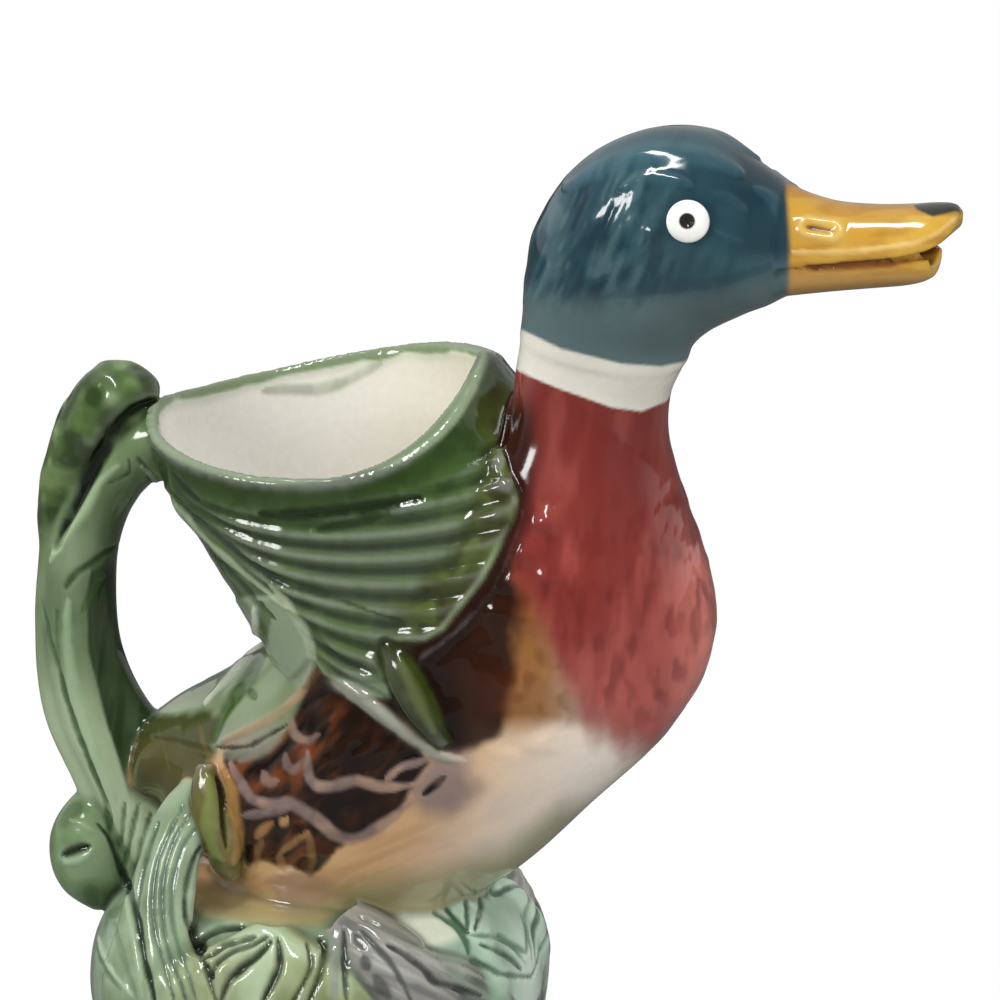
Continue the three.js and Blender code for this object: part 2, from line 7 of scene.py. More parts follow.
import bpy
import numpy as np
import openvdb
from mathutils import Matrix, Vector


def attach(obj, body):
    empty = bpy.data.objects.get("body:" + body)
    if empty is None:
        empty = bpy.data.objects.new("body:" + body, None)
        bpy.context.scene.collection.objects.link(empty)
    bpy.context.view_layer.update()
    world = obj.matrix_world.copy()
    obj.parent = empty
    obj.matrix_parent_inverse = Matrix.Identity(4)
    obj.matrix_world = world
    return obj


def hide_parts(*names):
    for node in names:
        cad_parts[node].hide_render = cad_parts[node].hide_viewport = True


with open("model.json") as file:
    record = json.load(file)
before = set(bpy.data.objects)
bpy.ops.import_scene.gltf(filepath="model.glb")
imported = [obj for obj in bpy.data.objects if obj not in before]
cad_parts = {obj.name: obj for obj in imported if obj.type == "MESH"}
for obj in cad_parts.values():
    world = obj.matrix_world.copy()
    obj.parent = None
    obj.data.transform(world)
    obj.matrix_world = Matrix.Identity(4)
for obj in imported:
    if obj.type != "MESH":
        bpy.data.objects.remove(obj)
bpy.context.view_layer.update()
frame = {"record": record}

# Sizes in millimetres
WALL = 4.5
GRAIN = 0.75
BAND = 9.0
METRE = 1000.0
END_SINK = 0.7

# Stations of the duck: back x and z, belly x and z, half width
COLLAR = (8.8, 234, 57, 226.5, 23.5)
NAPE = (8.8, 250, 61, 232.5, 26)
NECK_TIP = (14, 249, 54, 235.5, 21)
TRUNK = [
    (-113, 96, -110, 82, 8),
    (-101, 107, -91, 63, 27),
    (-83, 119, -62, 46, 42),
    (-63, 135, -30, 45, 49),
    (-45, 153, 3, 62, 52),
    (-28, 171, 30, 87.5, 51),
    (-13, 187, 52, 110, 47),
    (-2, 199, 64, 133, 41.5),
    (4, 207, 64.2, 153, 35.5),
    (6, 214, 57.2, 176, 29.5),
    (6.6, 221, 51.6, 198, 25.5),
    (7.6, 228, 52.2, 214, 23.7),
    COLLAR,
    NECK_TIP,
]
NECK_JOINT = TRUNK[8]
TRUNK_FULLNESS = 0.9
HEAD = [
    COLLAR,
    NAPE,
    (13.5, 269.5, 65.5, 236.7, 28.5),
    (26.5, 287, 70, 239.6, 28.5),
    (45, 297, 74.5, 242, 28.5),
    (63, 297.8, 79.5, 244.6, 27),
    (78, 290.5, 85, 247, 23),
    (90, 283.6, 90, 250, 17),
]
EYE_STATION = 0.694
EYE_ANGLE = math.radians(14.5)
EYE_RADIUS = 6.4
EYE_RISE = 3.2
EYE_EDGE = 0.2
EYE_ROOT = -4.0
PUPIL_RADIUS = 2.4
PUPIL_DEPTH = 0.7

# Stations of the bill: x, top, edge, half width
UPPER_BILL = [
    (90, 284, 262, 15.5),
    (96, 281.8, 262.8, 15),
    (105, 280, 264, 14.5),
    (117, 280, 265.8, 14.5),
    (128, 281, 268.3, 14.5),
    (136, 282.2, 270.5, 12.8),
    (141.5, 282.4, 273.5, 9),
    (144, 280.6, 278, 3),
]
LOWER_BILL = [
    (90, 261.3, 250.4, 14),
    (105, 263.2, 253.2, 13.2),
    (117, 265.1, 255.2, 13),
    (128, 267.2, 257, 12.8),
    (133.5, 268, 258.5, 10.8),
    (136.4, 267.2, 260.2, 7.2),
]
BILL_DOME = 0.75

# The web of clay in the mouth: x, low, high, half width
MOUTH_WEB = [
    (86, 259, 264, 12),
    (105, 261, 266, 11.8),
    (117, 262.5, 268, 11.6),
    (128, 264, 270, 11.2),
    (133, 264.8, 271, 9),
]
MOUTH_FULLNESS = 0.4

# The pouring channel: x and z of its middle, and its half sizes
SPOUT = [(96, 263.4), (105, 264), (128, 266), (150, 268.5)]
SPOUT_WIDTH = 5.5
SPOUT_HEIGHT = 3.2

# Levels of the leaf cup: z, rear, front, hollow's front, half width, fullness
CUP = [
    (116, -58, -4, -16, 44, 0.78),
    (138, -70, 12, -10, 47.5, 0.78),
    (160, -86, 20, -7, 49.5, 0.8),
    (182, -103, 21, -4, 50, 0.86),
    (204, -110, 9.5, -1.5, 50, 0.96),
    (226, -116, -5, -8.5, 50, 1.04),
]
RIM_MEAN = 213
RIM_RISE = 13
RIM_FAR_DIP = 5.5
RIM_NEAR_DIP = 14.5
RIM_NEAR_FALL = 7
RIM_FRONT_DIP = 4
RIM_PINCH = 0.22
PINCH_FOOT = 185
PINCH_TOP = 226
WELL_DEPTH = 30
WELL_RINGS = 10
HOLLOW_OVER_RIM = 1.25
LIP_START = 0.75
HOLLOW_START = 0.14
HOLLOW_STOP = 0.9
LIP = 3.0

# The mound: share of its half length and width, and height
MOUND = [(0.84, 0), (0.93, 6), (0.985, 15), (1, 26), (0.97, 38), (0.88, 48), (0.72, 55), (0.5, 58)]
MOUND_CENTRE = -58
MOUND_LENGTH = 68.5
MOUND_WIDTH = 69

# Stalks and buds: x, y, z, radius
OUTER_STALK = [(-114, 0, 50, 8), (-125, 0, 76, 8), (-136.8, 0, 102, 8), (-140.2, 0, 128, 7),
               (-139.5, 0, 148, 6.5), (-138.5, 0, 160, 6)]
MIDDLE_STALK = [(-104, -1, 58, 11), (-117, -2, 80, 10.5), (-128, -3, 101, 10), (-132.5, -3, 125, 10),
                (-132, -2, 148, 10), (-126, 0, 170, 10), (-113, 0, 186, 10), (-97, 0, 191, 9)]
INNER_STALK = [(-107, 0, 90, 7), (-119, 0, 102, 7.5), (-127, 0, 120, 7), (-129, 0, 142, 6.5),
               (-127, 0, 161, 5.5), (-115, 0, 179, 6), (-97, 0, 183, 8)]
BUD = [(-140.6, 0, 150, 4), (-140.6, 0, 161, 6.2), (-136.5, 0, 172.5, 9), (-129.8, 0, 186, 12),
       (-122, 0, 197, 13), (-117.4, 0, 205.5, 10.5), (-115.4, 0, 210, 4)]
TAIL = [(-82, 0, 106, 6), (-94, 0, 99, 9), (-104, 0, 91, 9), (-111, 0, 82, 6)]
REAR_BUD = [(-124, 0, 40, 5), (-126.5, 0, 49, 13), (-128, 0, 60, 14.5), (-127, 0, 71, 10), (-126, 0, 78, 3.5)]
PLUME = [(-83, -34, 93, 0.8), (-86.5, -38, 87, 3.2), (-89, -45, 75, 4.6), (-91, -54, 54, 5.8),
         (-92, -62, 32, 7), (-90, -60, 10, 5)]
PLUME_TURN = 18

# Sprigs on the right flank: station along the trunk, angle as a share of pi, radius
DRAPE_UPPER = [(0.6, 0.7), (0.48, 0.66), (0.38, 0.64), (0.29, 0.68)]
DRAPE_LOWER = [(0.58, 0.87), (0.47, 0.92), (0.36, 0.9), (0.28, 0.76)]
LOBE_UPPER = [(0.29, 0.56), (0.2, 0.53), (0.11, 0.55)]
LOBE_LOWER = [(0.28, 0.76), (0.21, 0.87), (0.12, 0.8)]
WING_UPPER = [(0.15, 0.86), (0.22, 0.86), (0.29, 0.84), (0.34, 0.97), (0.37, 1.1)]
WING_LOWER = [(0.15, 1), (0.2, 1.14), (0.26, 1.17), (0.32, 1.15), (0.365, 1.13)]
STEM = [(0.265, 0.72, 2.0), (0.29, 0.79, 1.8), (0.325, 0.91, 1.6), (0.35, 1.03, 1.3), (0.364, 1.08, 0.4)]
POD = [(0.36, 0.83, 2), (0.362, 0.9, 5), (0.362, 0.97, 5), (0.362, 1.04, 2)]
CURL = [(0.145, 0.86, 2.5), (0.141, 0.94, 5), (0.147, 1.02, 5.5), (0.143, 1.09, 5), (0.142, 1.14, 2.5)]

# Leaves and logs on the mound: height along its profile, degrees from straight ahead, radius
FAN_CENTRE = 86
FAN_LOBES = (-26, -13, 0, 13, 26)
FAN = [(0.78, 0.1, 4), (0.66, 0.5, 6), (0.5, 0.9, 6.5), (0.34, 1, 4)]
LOG = [(0.82, 62, 9), (0.64, 50, 13), (0.44, 40, 13), (0.25, 31, 9)]
FRONT = [(0.93, 13, 3), (0.78, 15, 5), (0.56, 16, 5.5), (0.3, 14, 4)]
LOG_SUNK = -7
FRONT_SUNK = -4.6
FRONT_TURN = 66


# Curves
def spline(values, t):
    values = np.asarray(values, float)
    last = len(values) - 1
    place = np.clip(t, 0, 1) * last
    i = np.minimum(np.floor(place).astype(int), last - 1)
    w = place - i
    before = values[np.maximum(i - 1, 0)]
    start = values[i]
    end = values[i + 1]
    after = values[np.minimum(i + 2, last)]
    lead = (end - before) / 2
    trail = (after - start) / 2
    cubic = 2 * start - 2 * end + lead + trail
    square = -3 * start + 3 * end - 2 * lead - trail
    return cubic * w**3 + square * w**2 + lead * w + start


def columns(table):
    return np.asarray(table, float).T


def swell(value, power):
    return np.sign(value) * np.abs(value) ** power


def turn(count):
    return np.linspace(0, 2 * np.pi, count, endpoint=False)


def smooth(low, high, value):
    share = np.clip((value - low) / (high - low), 0, 1)
    return share * share * (3 - 2 * share)


def unit(vectors):
    return vectors / np.maximum(np.linalg.norm(vectors, axis=-1, keepdims=True), 1e-9)


def points_at(x, y, z):
    return np.stack(np.broadcast_arrays(x, y, z), -1)


# Forms, each as rings of points
def duck_point(stations, fullness, t, angle, grow=0.0):
    back_x, back_z, belly_x, belly_z, half = (spline(column, t) for column in columns(stations))
    up_x = (back_x - belly_x) / 2
    up_z = (back_z - belly_z) / 2
    tall = np.hypot(up_x, up_z)
    rise = (tall + grow) / tall * swell(np.sin(angle), fullness)
    x = (back_x + belly_x) / 2 + up_x * rise
    y = (half + grow) * swell(np.cos(angle), fullness)
    z = (back_z + belly_z) / 2 + up_z * rise
    return points_at(x, y, z)


def duck_rings(stations, fullness, start=0.0, stop=1.0, grow=0.0, rings=150, sides=120):
    t = np.linspace(start, stop, rings)[:, None]
    return duck_point(stations, fullness, t, turn(sides)[None, :], grow)


def trunk_point(t, share, grow):
    return duck_point(TRUNK, TRUNK_FULLNESS, np.asarray(t), np.asarray(share) * np.pi, grow)


def cup_level(key, z):
    levels = columns(CUP)
    return spline(levels[key], (z - levels[0][0]) / (levels[0][-1] - levels[0][0]))


def rim_height(angle):
    ahead = np.cos(angle)
    near = (1 - np.sin(angle)) / 2
    dip = RIM_FAR_DIP + near * (RIM_NEAR_DIP + RIM_NEAR_FALL * ahead)
    front_dip = RIM_FRONT_DIP * (1 - near) * np.maximum(ahead, 0) ** 4
    return RIM_MEAN + RIM_RISE * ahead - dip * np.abs(np.sin(angle)) - front_dip


def pinch(angle, z):
    """How far the cup narrows towards its front corner, near the rim."""
    return 1 - RIM_PINCH * np.maximum(np.cos(angle), 0) ** 2 * smooth(PINCH_FOOT, PINCH_TOP, z)


def cup_oval(angle, z, rear, front, half):
    full = cup_level(5, z)
    x = (front + rear) / 2 + (front - rear) / 2 * swell(np.cos(angle), full)
    y = half * swell(np.sin(angle), full) * pinch(angle, z)
    return points_at(x, y, z)


def cup_rings(rows=70, sides=140):
    angle = turn(sides)[None, :]
    foot = CUP[0][0]
    z = foot + (rim_height(angle) - foot) * np.linspace(0, 1, rows)[:, None]
    return cup_oval(angle, z, cup_level(1, z), cup_level(2, z), cup_level(4, z))


def hollow_rings(rows=60, sides=120):
    angle = turn(sides)[None, :]
    foot = CUP[0][0]
    share = np.linspace(0, HOLLOW_OVER_RIM, rows)[:, None]
    z = foot + (rim_height(angle) - foot) * share
    wall = WALL - (WALL - LIP) * smooth(LIP_START, 1.0, share)
    full = cup_level(5, z)
    centre = (cup_level(1, z) + cup_level(2, z)) / 2
    behind = centre - cup_level(1, z) - wall
    before = cup_level(3, z) - centre
    reach = np.where(np.cos(angle) < 0, behind, before)
    upper_x = centre + reach * swell(np.cos(angle), full)
    upper_y = (cup_level(4, z) - wall) * swell(np.sin(angle), full) * pinch(angle, z)
    upper = points_at(upper_x, upper_y, z)
    middle = upper[0].mean(0)
    lower = []
    for sink in np.linspace(1, 0.08, WELL_RINGS):
        ring = middle + (upper[0] - middle) * math.sqrt(1 - sink**2)
        ring[:, 2] -= WELL_DEPTH * sink
        lower.append(ring)
    return np.concatenate([np.array(lower), upper])


def bill_rings(stations, dome, rings=70, sides=64):
    x, top, edge, half = (spline(column, np.linspace(0, 1, rings))[:, None] for column in columns(stations))
    angle = np.linspace(0, np.pi, sides)[None, :]
    rise = (top - edge) * swell(np.sin(angle), BILL_DOME)
    y = half * np.cos(angle)
    z = edge + rise if dome > 0 else top - rise
    return points_at(x, y, z)


def mouth_rings(rings=40, sides=40):
    """The web of clay that closes the mouth behind its slit."""
    t = np.linspace(0, 1, rings)
    along, low, high, half = (spline(column, t)[:, None] for column in columns(MOUTH_WEB))
    angle = turn(sides)[None, :]
    rise = (high - low) / 2 * swell(np.sin(angle), MOUTH_FULLNESS)
    wide = half * swell(np.cos(angle), MOUTH_FULLNESS)
    return points_at(along, wide, (high + low) / 2 + rise)


def oval_tube(route, half_width, half_height, sides=32):
    angle = turn(sides)
    rings = []
    for x, z in route:
        ring = np.stack([np.full(sides, x), half_width * np.cos(angle), z + half_height * np.sin(angle)], -1)
        rings.append(ring)
    return np.array(rings)


def stalk_rings(stations, side=(0, 1, 0), depth=1.0, rings=90, sides=72):
    t = np.linspace(0, 1, rings)
    x, y, z, radius = (spline(column, t) for column in columns(stations))
    centre = np.stack([x, y, z], -1)
    tangent = unit(np.gradient(centre, axis=0))
    across = np.asarray(side, float)
    first = unit(across - tangent * (tangent @ across)[:, None])
    second = np.cross(tangent, first)
    angle = turn(sides)[None, :]
    r = radius[:, None]
    spread = (r * depth * np.cos(angle))[..., None] * first[:, None, :]
    return centre[:, None, :] + spread + (r * np.sin(angle))[..., None] * second[:, None, :]


def leaf_rings(upper, lower, rise, edge_rise, head_taper, foot_taper, sink=3.0, rows=60, cross=40):
    u = np.linspace(0, 1, rows)[:, None]
    v = np.linspace(0, 1, cross)[None, :]
    upper_t, upper_share = (spline(column, u) for column in columns(upper))
    lower_t, lower_share = (spline(column, u) for column in columns(lower))
    t = upper_t + (lower_t - upper_t) * v
    share = upper_share + (lower_share - upper_share) * v
    proud = rise * (edge_rise + (1 - edge_rise) * np.sin(np.pi * v))
    ends = smooth(-1e-6, head_taper, u) * smooth(1 + 1e-6, 1 - foot_taper, u)
    proud = (proud + END_SINK) * ends - END_SINK
    top = trunk_point(t, share, proud)
    under = trunk_point(t, share, -sink)[:, ::-1]
    return np.concatenate([top, under], axis=1)


def mound_point(s, degrees, grow=0.0):
    share, height = (spline(column, np.asarray(s)) for column in columns(MOUND))
    angle = np.radians(degrees)
    x = MOUND_CENTRE + (MOUND_LENGTH * share + grow) * np.cos(angle)
    y = (MOUND_WIDTH * share + grow) * np.sin(angle)
    return points_at(x, y, height)


def mound_rings(rings=60, sides=160):
    s = np.linspace(0, 1, rings)[:, None]
    return mound_point(s, np.degrees(turn(sides))[None, :])


def on_trunk(route, proud):
    t, share, radius = columns(route)
    return np.column_stack([trunk_point(t, share, proud), radius])


def on_mound(route, proud):
    s, degrees, radius = columns(route)
    return np.column_stack([mound_point(s, -degrees, proud), radius])


def fan_rings():
    lobes = []
    for degrees in FAN_LOBES:
        route = [(s, FAN_CENTRE + degrees * spread, radius) for s, spread, radius in FAN]
        lobes.append(stalk_rings(on_mound(route, 0), rings=50, sides=40))
    return lobes


def turned(degrees):
    return (math.cos(math.radians(degrees)), -math.sin(math.radians(degrees)), 0)


def mirrored(rings):
    return rings * np.array([1.0, -1.0, 1.0])


# The clay: level sets of the forms, run together with soft fillets
transform = openvdb.createLinearTransform(voxelSize=GRAIN)
BAND_CELLS = int(math.ceil(BAND / GRAIN))


def level_set(rings):
    rows, sides, _ = rings.shape
    points = rings.reshape(-1, 3)
    row = np.arange(rows - 1)[:, None] * sides
    near = np.arange(sides)[None, :]
    far = (near + 1) % sides
    quads = np.stack([row + near, row + far, row + sides + far, row + sides + near], -1).reshape(-1, 4)
    centres = np.stack([rings[0].mean(0), rings[-1].mean(0)])
    first = len(points)
    last_row = (rows - 1) * sides
    low_cap = np.stack([near[0], far[0], np.full(sides, first)], -1)
    high_cap = np.stack([last_row + near[0], last_row + far[0], np.full(sides, first + 1)], -1)
    points = np.concatenate([points, centres]).astype(np.float32)
    grid = openvdb.FloatGrid.createLevelSetFromPolygons(
        points,
        triangles=np.concatenate([low_cap, high_cap]).astype(np.uint32),
        quads=quads.astype(np.uint32),
        transform=transform,
        exBandWidth=float(BAND_CELLS),
        inBandWidth=float(BAND_CELLS),
    )
    low = np.floor(points.min(0) / GRAIN).astype(int) - BAND_CELLS - 1
    high = np.ceil(points.max(0) / GRAIN).astype(int) + BAND_CELLS + 2
    values = np.full(tuple(high - low), BAND, np.float32)
    grid.copyToArray(values, ijk=tuple(int(i) for i in low))
    return low, values


def soft_least(a, b, fillet):
    least = np.minimum(a, b)
    share = np.maximum(fillet - np.abs(a - b), 0) / fillet
    share[least > fillet] = 0
    return least - 0.25 * fillet * share * share


def sample(form, places):
    """The level set read at each place, or the band where the place lies outside it."""
    low, values = form
    lattice_places = places / GRAIN - low
    limit = np.array(values.shape) - 1.001
    held = np.flatnonzero(np.all((lattice_places >= 0) & (lattice_places <= limit), axis=1))
    lattice_places = lattice_places[held]
    i = lattice_places.astype(int)
    w = lattice_places - i
    total = np.zeros(len(held))
    for corner in np.ndindex(2, 2, 2):
        weight = np.prod(np.where(corner, w, 1 - w), axis=1)
        total += weight * values[i[:, 0] + corner[0], i[:, 1] + corner[1], i[:, 2] + corner[2]]
    found = np.full(len(places), BAND)
    found[held] = total
    return found


# Each form, with the fillet of its lute in millimetres
forms = []


def add(name, rings, fillet):
    forms.append((name, fillet, level_set(rings)))


def both(name, rings, fillet):
    add(f"{name}_right", rings, fillet)
    add(f"{name}_left", mirrored(rings), fillet)


add("body_shell", duck_rings(TRUNK, TRUNK_FULLNESS), 1.0)
add("head_shell", duck_rings(HEAD, 1.0), 4.0)
add("upper_bill", bill_rings(UPPER_BILL, 1), 2.5)
add("lower_bill", bill_rings(LOWER_BILL, -1), 1.5)
add("lower_bill", mouth_rings(), 0.5)
add("base_mound", mound_rings(), 7.0)
add("tail", stalk_rings(TAIL, depth=2.4), 6.0)
add("leaf_cup", cup_rings(), 3.5)
drape = leaf_rings(DRAPE_UPPER, DRAPE_LOWER, rise=3.2, edge_rise=0.5, head_taper=0.02, foot_taper=0.5)
add("leaf_cup", drape, 3.0)
add("leaf_cup", mirrored(drape), 3.0)
add("handle_outer_stalk", stalk_rings(OUTER_STALK), 2.0)
add("handle_bud", stalk_rings(BUD), 1.6)
add("handle_middle_stalk", stalk_rings(MIDDLE_STALK, depth=1.15), 2.0)
add("handle_inner_stalk", stalk_rings(INNER_STALK), 3.0)
add("rear_bud", stalk_rings(REAR_BUD), 1.6)
lobe = leaf_rings(LOBE_UPPER, LOBE_LOWER, rise=3.5, edge_rise=0.2, head_taper=0.3, foot_taper=0.7)
both("leaf_lobe", lobe, 2.5)
wing = leaf_rings(WING_UPPER, WING_LOWER, rise=1.8, edge_rise=-0.4, head_taper=0.3, foot_taper=0.3)
both("wing", wing, 1.5)
both("leaf_stem", stalk_rings(on_trunk(STEM, 0.1)), 1.6)
both("leaf_pod", stalk_rings(on_trunk(POD, 0.6)), 2.6)
both("leaf_curl", stalk_rings(on_trunk(CURL, 2.6)), 1.4)
both("plume_leaf", stalk_rings(PLUME, side=turned(PLUME_TURN), depth=2.2), 4.0)
for fan_lobe in fan_rings():
    both("fan_leaf", fan_lobe, 5.0)
both("log", stalk_rings(on_mound(LOG, LOG_SUNK)), 2.0)
both("front_leaf", stalk_rings(on_mound(FRONT, FRONT_SUNK), side=turned(FRONT_TURN), depth=1.7), 2.5)
hollow = level_set(hollow_rings())
belly_hollow = level_set(duck_rings(TRUNK, TRUNK_FULLNESS, HOLLOW_START, HOLLOW_STOP, -WALL))
spout = level_set(oval_tube(SPOUT, SPOUT_WIDTH, SPOUT_HEIGHT))


def cast():
    low = np.min([form[0] for _, _, form in forms], axis=0)
    high = np.max([form[0] + form[1].shape for _, _, form in forms], axis=0)
    field = np.full(tuple(high - low), BAND, np.float32)

    def window(form):
        start = form[0] - low
        stop = start + form[1].shape
        held_start = np.maximum(start, 0)
        held_stop = np.minimum(stop, field.shape)
        outer = tuple(slice(a, b) for a, b in zip(held_start, held_stop))
        inner = tuple(slice(a, b) for a, b in zip(held_start - start, held_stop - start))
        return outer, inner

    for _, fillet, form in forms:
        outer, inner = window(form)
        field[outer] = soft_least(field[outer], form[1][inner], fillet)
    for form, fillet in ((belly_hollow, 1.0), (hollow, 1.8), (spout, 0.8)):
        outer, inner = window(form)
        field[outer] = -soft_least(-field[outer], form[1][inner], fillet)
    grid = openvdb.FloatGrid(BAND)
    grid.transform = transform
    grid.copyFromArray(np.clip(field, -BAND, BAND), ijk=tuple(int(i) for i in low), tolerance=1e-4)
    found_points, found_quads = grid.convertToQuads(0.0)
    return found_points.astype(float), found_quads.astype(np.int64)


points, quads = cast()
edges = np.concatenate([quads[:, [k, (k + 1) % 4]] for k in range(4)])
edges = edges[edges[:, 0] < edges[:, 1]]
count = len(points)
degree = np.maximum(np.bincount(edges.ravel(), minlength=count), 1)


def spread(values):
    """The mean of each point's neighbours."""
    if values.ndim > 1:
        return np.stack([spread(column) for column in values.T], -1)
    total = np.bincount(edges[:, 0], values[edges[:, 1]], count)
    total += np.bincount(edges[:, 1], values[edges[:, 0]], count)
    return total / degree


def relaxed(values, passes, share=0.5):
    for _ in range(passes):
        values = values + share * (spread(values) - values)
    return values


def normals_of(places):
    a, b, c, d = (places[quads[:, k]] for k in range(4))
    face = np.cross(c - a, d - b)
    total = np.zeros_like(places)
    for axis in range(3):
        total[:, axis] = np.bincount(quads.ravel(), np.repeat(face[:, axis], 4), count)
    return unit(total)


# The lattice's steps are eased out of the skin, in and out again so that it doesn't shrink
EASE_PASSES = 5
EASE_IN = 0.55
EASE_OUT = 0.57
for _ in range(EASE_PASSES):
    points = points + EASE_IN * (spread(points) - points)
    points = points - EASE_OUT * (spread(points) - points)

# Faces run outwards
normals = normals_of(points)
if normals[np.argmin(points[:, 2]), 2] > 0:
    quads = quads[:, ::-1].copy()
    normals = -normals

# Which piece each point belongs to
names = sorted({name for name, _, _ in forms})
table = np.full((count, len(names)), BAND)
for name, _, form in forms:
    k = names.index(name)
    table[:, k] = np.minimum(table[:, k], sample(form, points))
hollow_distance = sample(hollow, points)
belly_distance = sample(belly_hollow, points)


def belongs(*wanted, width=0.8):
    """A soft mask of the points that belong to the named pieces."""
    picked = [k for k, name in enumerate(names) if name.startswith(wanted)]
    others = [k for k in range(len(names)) if k not in picked]
    return smooth(-width, width, table[:, others].min(1) - table[:, picked].min(1))


def plane_side(station):
    back_x, back_z, belly_x, belly_z, _ = station
    along = unit(np.array([belly_x - back_x, 0, belly_z - back_z]))
    ahead = np.array([-along[2], 0, along[0]])
    return (points - np.array([back_x, 0, back_z])) @ ahead


# The flank sheet: the near side of the duck drawn flat, and the far side as its mirror image
SHEET_TURN = math.radians(18)
SHEET_TIP = math.radians(16)
SHEET_UNIT = 0.3
SHEET_ACROSS = 499
SHEET_DOWN = 1072
x, y, z = points.T
flank = np.abs(y)
ahead_x = x * math.cos(SHEET_TURN) - flank * math.sin(SHEET_TURN)
aside = x * math.sin(SHEET_TURN) + flank * math.cos(SHEET_TURN)
up_z = z * math.cos(SHEET_TIP) - math.sin(SHEET_TIP) * aside
across = SHEET_ACROSS + ahead_x / SHEET_UNIT
down = SHEET_DOWN - up_z / SHEET_UNIT

# Noise, from one seeded table
NOISE_SIDE = 64
NOISE_TABLE = np.random.default_rng(7).random((NOISE_SIDE, NOISE_SIDE, NOISE_SIDE)).astype(np.float32)


def lattice(cell, seed):
    a, b, c = ((cell[..., k].astype(np.int64) + seed * (17 + 12 * k)) % NOISE_SIDE for k in range(3))
    return NOISE_TABLE[a, b, c]


def noise(places, seed):
    base = np.floor(places)
    w = places - base
    w = w * w * (3 - 2 * w)
    total = 0
    for corner in np.ndindex(2, 2, 2):
        weight = np.prod(np.where(corner, w, 1 - w), axis=-1)
        total = total + weight * lattice(base + np.array(corner), seed)
    return total


def cloud(places, size, seed, octaves=2):
    total = 0
    weight = 1.0
    reach = 0.0
    for octave in range(octaves):
        total = total + weight * noise(places / size * 2**octave, seed + octave)
        reach += weight
        weight *= 0.5
    return total / reach


def leaned(lean):
    """Flank sheet places turned by an angle."""
    turn_by = math.radians(lean)
    return (
        across * math.cos(turn_by) + down * math.sin(turn_by),
        down * math.cos(turn_by) - across * math.sin(turn_by),
    )


def brushed(wide, tall, lean, seed):
    """Brush marks on the flank sheet, leaned by an angle."""
    a, d = leaned(lean)
    return cloud(np.stack([a / wide, d / tall, flank / 40], -1), 1.0, seed)


def curved(route, pieces=6):
    route = np.asarray(route, float)
    t = np.linspace(0, 1, (len(route) - 1) * pieces + 1)
    return np.stack([spline(route[:, 0], t), spline(route[:, 1], t)], -1)


FAR = 1e3


def line_distance(route, reach=40.0):
    """Distance to a line on the sheet, and the share of the way along it."""
    route = np.asarray(route, float)
    low = route.min(0) - reach
    high = route.max(0) + reach
    held = np.flatnonzero((across > low[0]) & (across < high[0]) & (down > low[1]) & (down < high[1]))
    a = across[held]
    d = down[held]
    lengths = np.maximum(np.linalg.norm(np.diff(route, axis=0), axis=1), 1e-6)
    starts = np.concatenate([[0], np.cumsum(lengths)])
    best = np.full(len(held), FAR)
    place = np.zeros(len(held))
    for (ax, ad), (bx, bd), length, start in zip(route[:-1], route[1:], lengths, starts):
        w = np.clip(((a - ax) * (bx - ax) + (d - ad) * (bd - ad)) / length**2, 0, 1)
        far = np.hypot(a - ax - w * (bx - ax), d - ad - w * (bd - ad))
        nearer = far < best
        best = np.where(nearer, far, best)
        place = np.where(nearer, (start + w * length) / starts[-1], place)
    whole = np.full(count, FAR)
    along = np.zeros(count)
    whole[held] = best
    along[held] = place
    return whole, along


def outline(route):
    """Signed distance to a closed outline on the sheet, positive inside."""
    route = np.asarray(route, float)
    closed = np.concatenate([route, route[:1]])
    far, _ = line_distance(closed)
    within = np.zeros(count, bool)
    for (ax, ad), (bx, bd) in zip(closed[:-1], closed[1:]):
        if ad == bd:
            continue
        crossing = (ad > down) != (bd > down)
        within ^= crossing & (across < (bx - ax) * (down - ad) / (bd - ad) + ax)
    return np.where(within, far, -far)


def below(route):
    """How far below a line, read across the sheet, each point lies."""
    route = np.asarray(route, float)
    return down - np.interp(across, route[:, 0], route[:, 1])


def right_of(route):
    """How far to the right of a line, read down the sheet, each point lies."""
    route = np.asarray(route, float)
    return across - np.interp(down, route[:, 1], route[:, 0])


# Groups of pieces that a stroke may run over
WALL_NEAR = 0.5
WALL_FAR = 1.3
cup_wall = smooth(WALL_FAR, WALL_NEAR, np.abs(hollow_distance))
cup_wall = np.maximum(cup_wall, smooth(WALL_FAR, WALL_NEAR, np.abs(belly_distance)))
GROUPS = {
    "duck": belongs("body_shell", "head_shell"),
    "flank": belongs("body_shell", "wing", "leaf_stem"),
    "bill": belongs("upper_bill", "lower_bill"),
    "leaf": belongs("leaf_cup", "handle_middle", "handle_inner") * (1 - cup_wall),
    "cup": belongs("leaf_cup") * (1 - cup_wall),
    "back": belongs("leaf_lobe", "body_shell", "tail", "leaf_cup") * (1 - cup_wall),
    "wall": belongs("leaf_cup") * cup_wall,
    "pod": belongs("leaf_pod"),
    "handle": belongs("handle_", "leaf_cup") * (1 - cup_wall),
    "base": belongs("base_mound", "plume_leaf", "fan_leaf", "log", "front_leaf", "handle_outer",
                    "handle_middle", "tail", "rear_bud"),
    "curl": belongs("leaf_curl", "body_shell", "wing"),
    "rear": belongs("rear_bud", "handle_outer", "base_mound"),
}

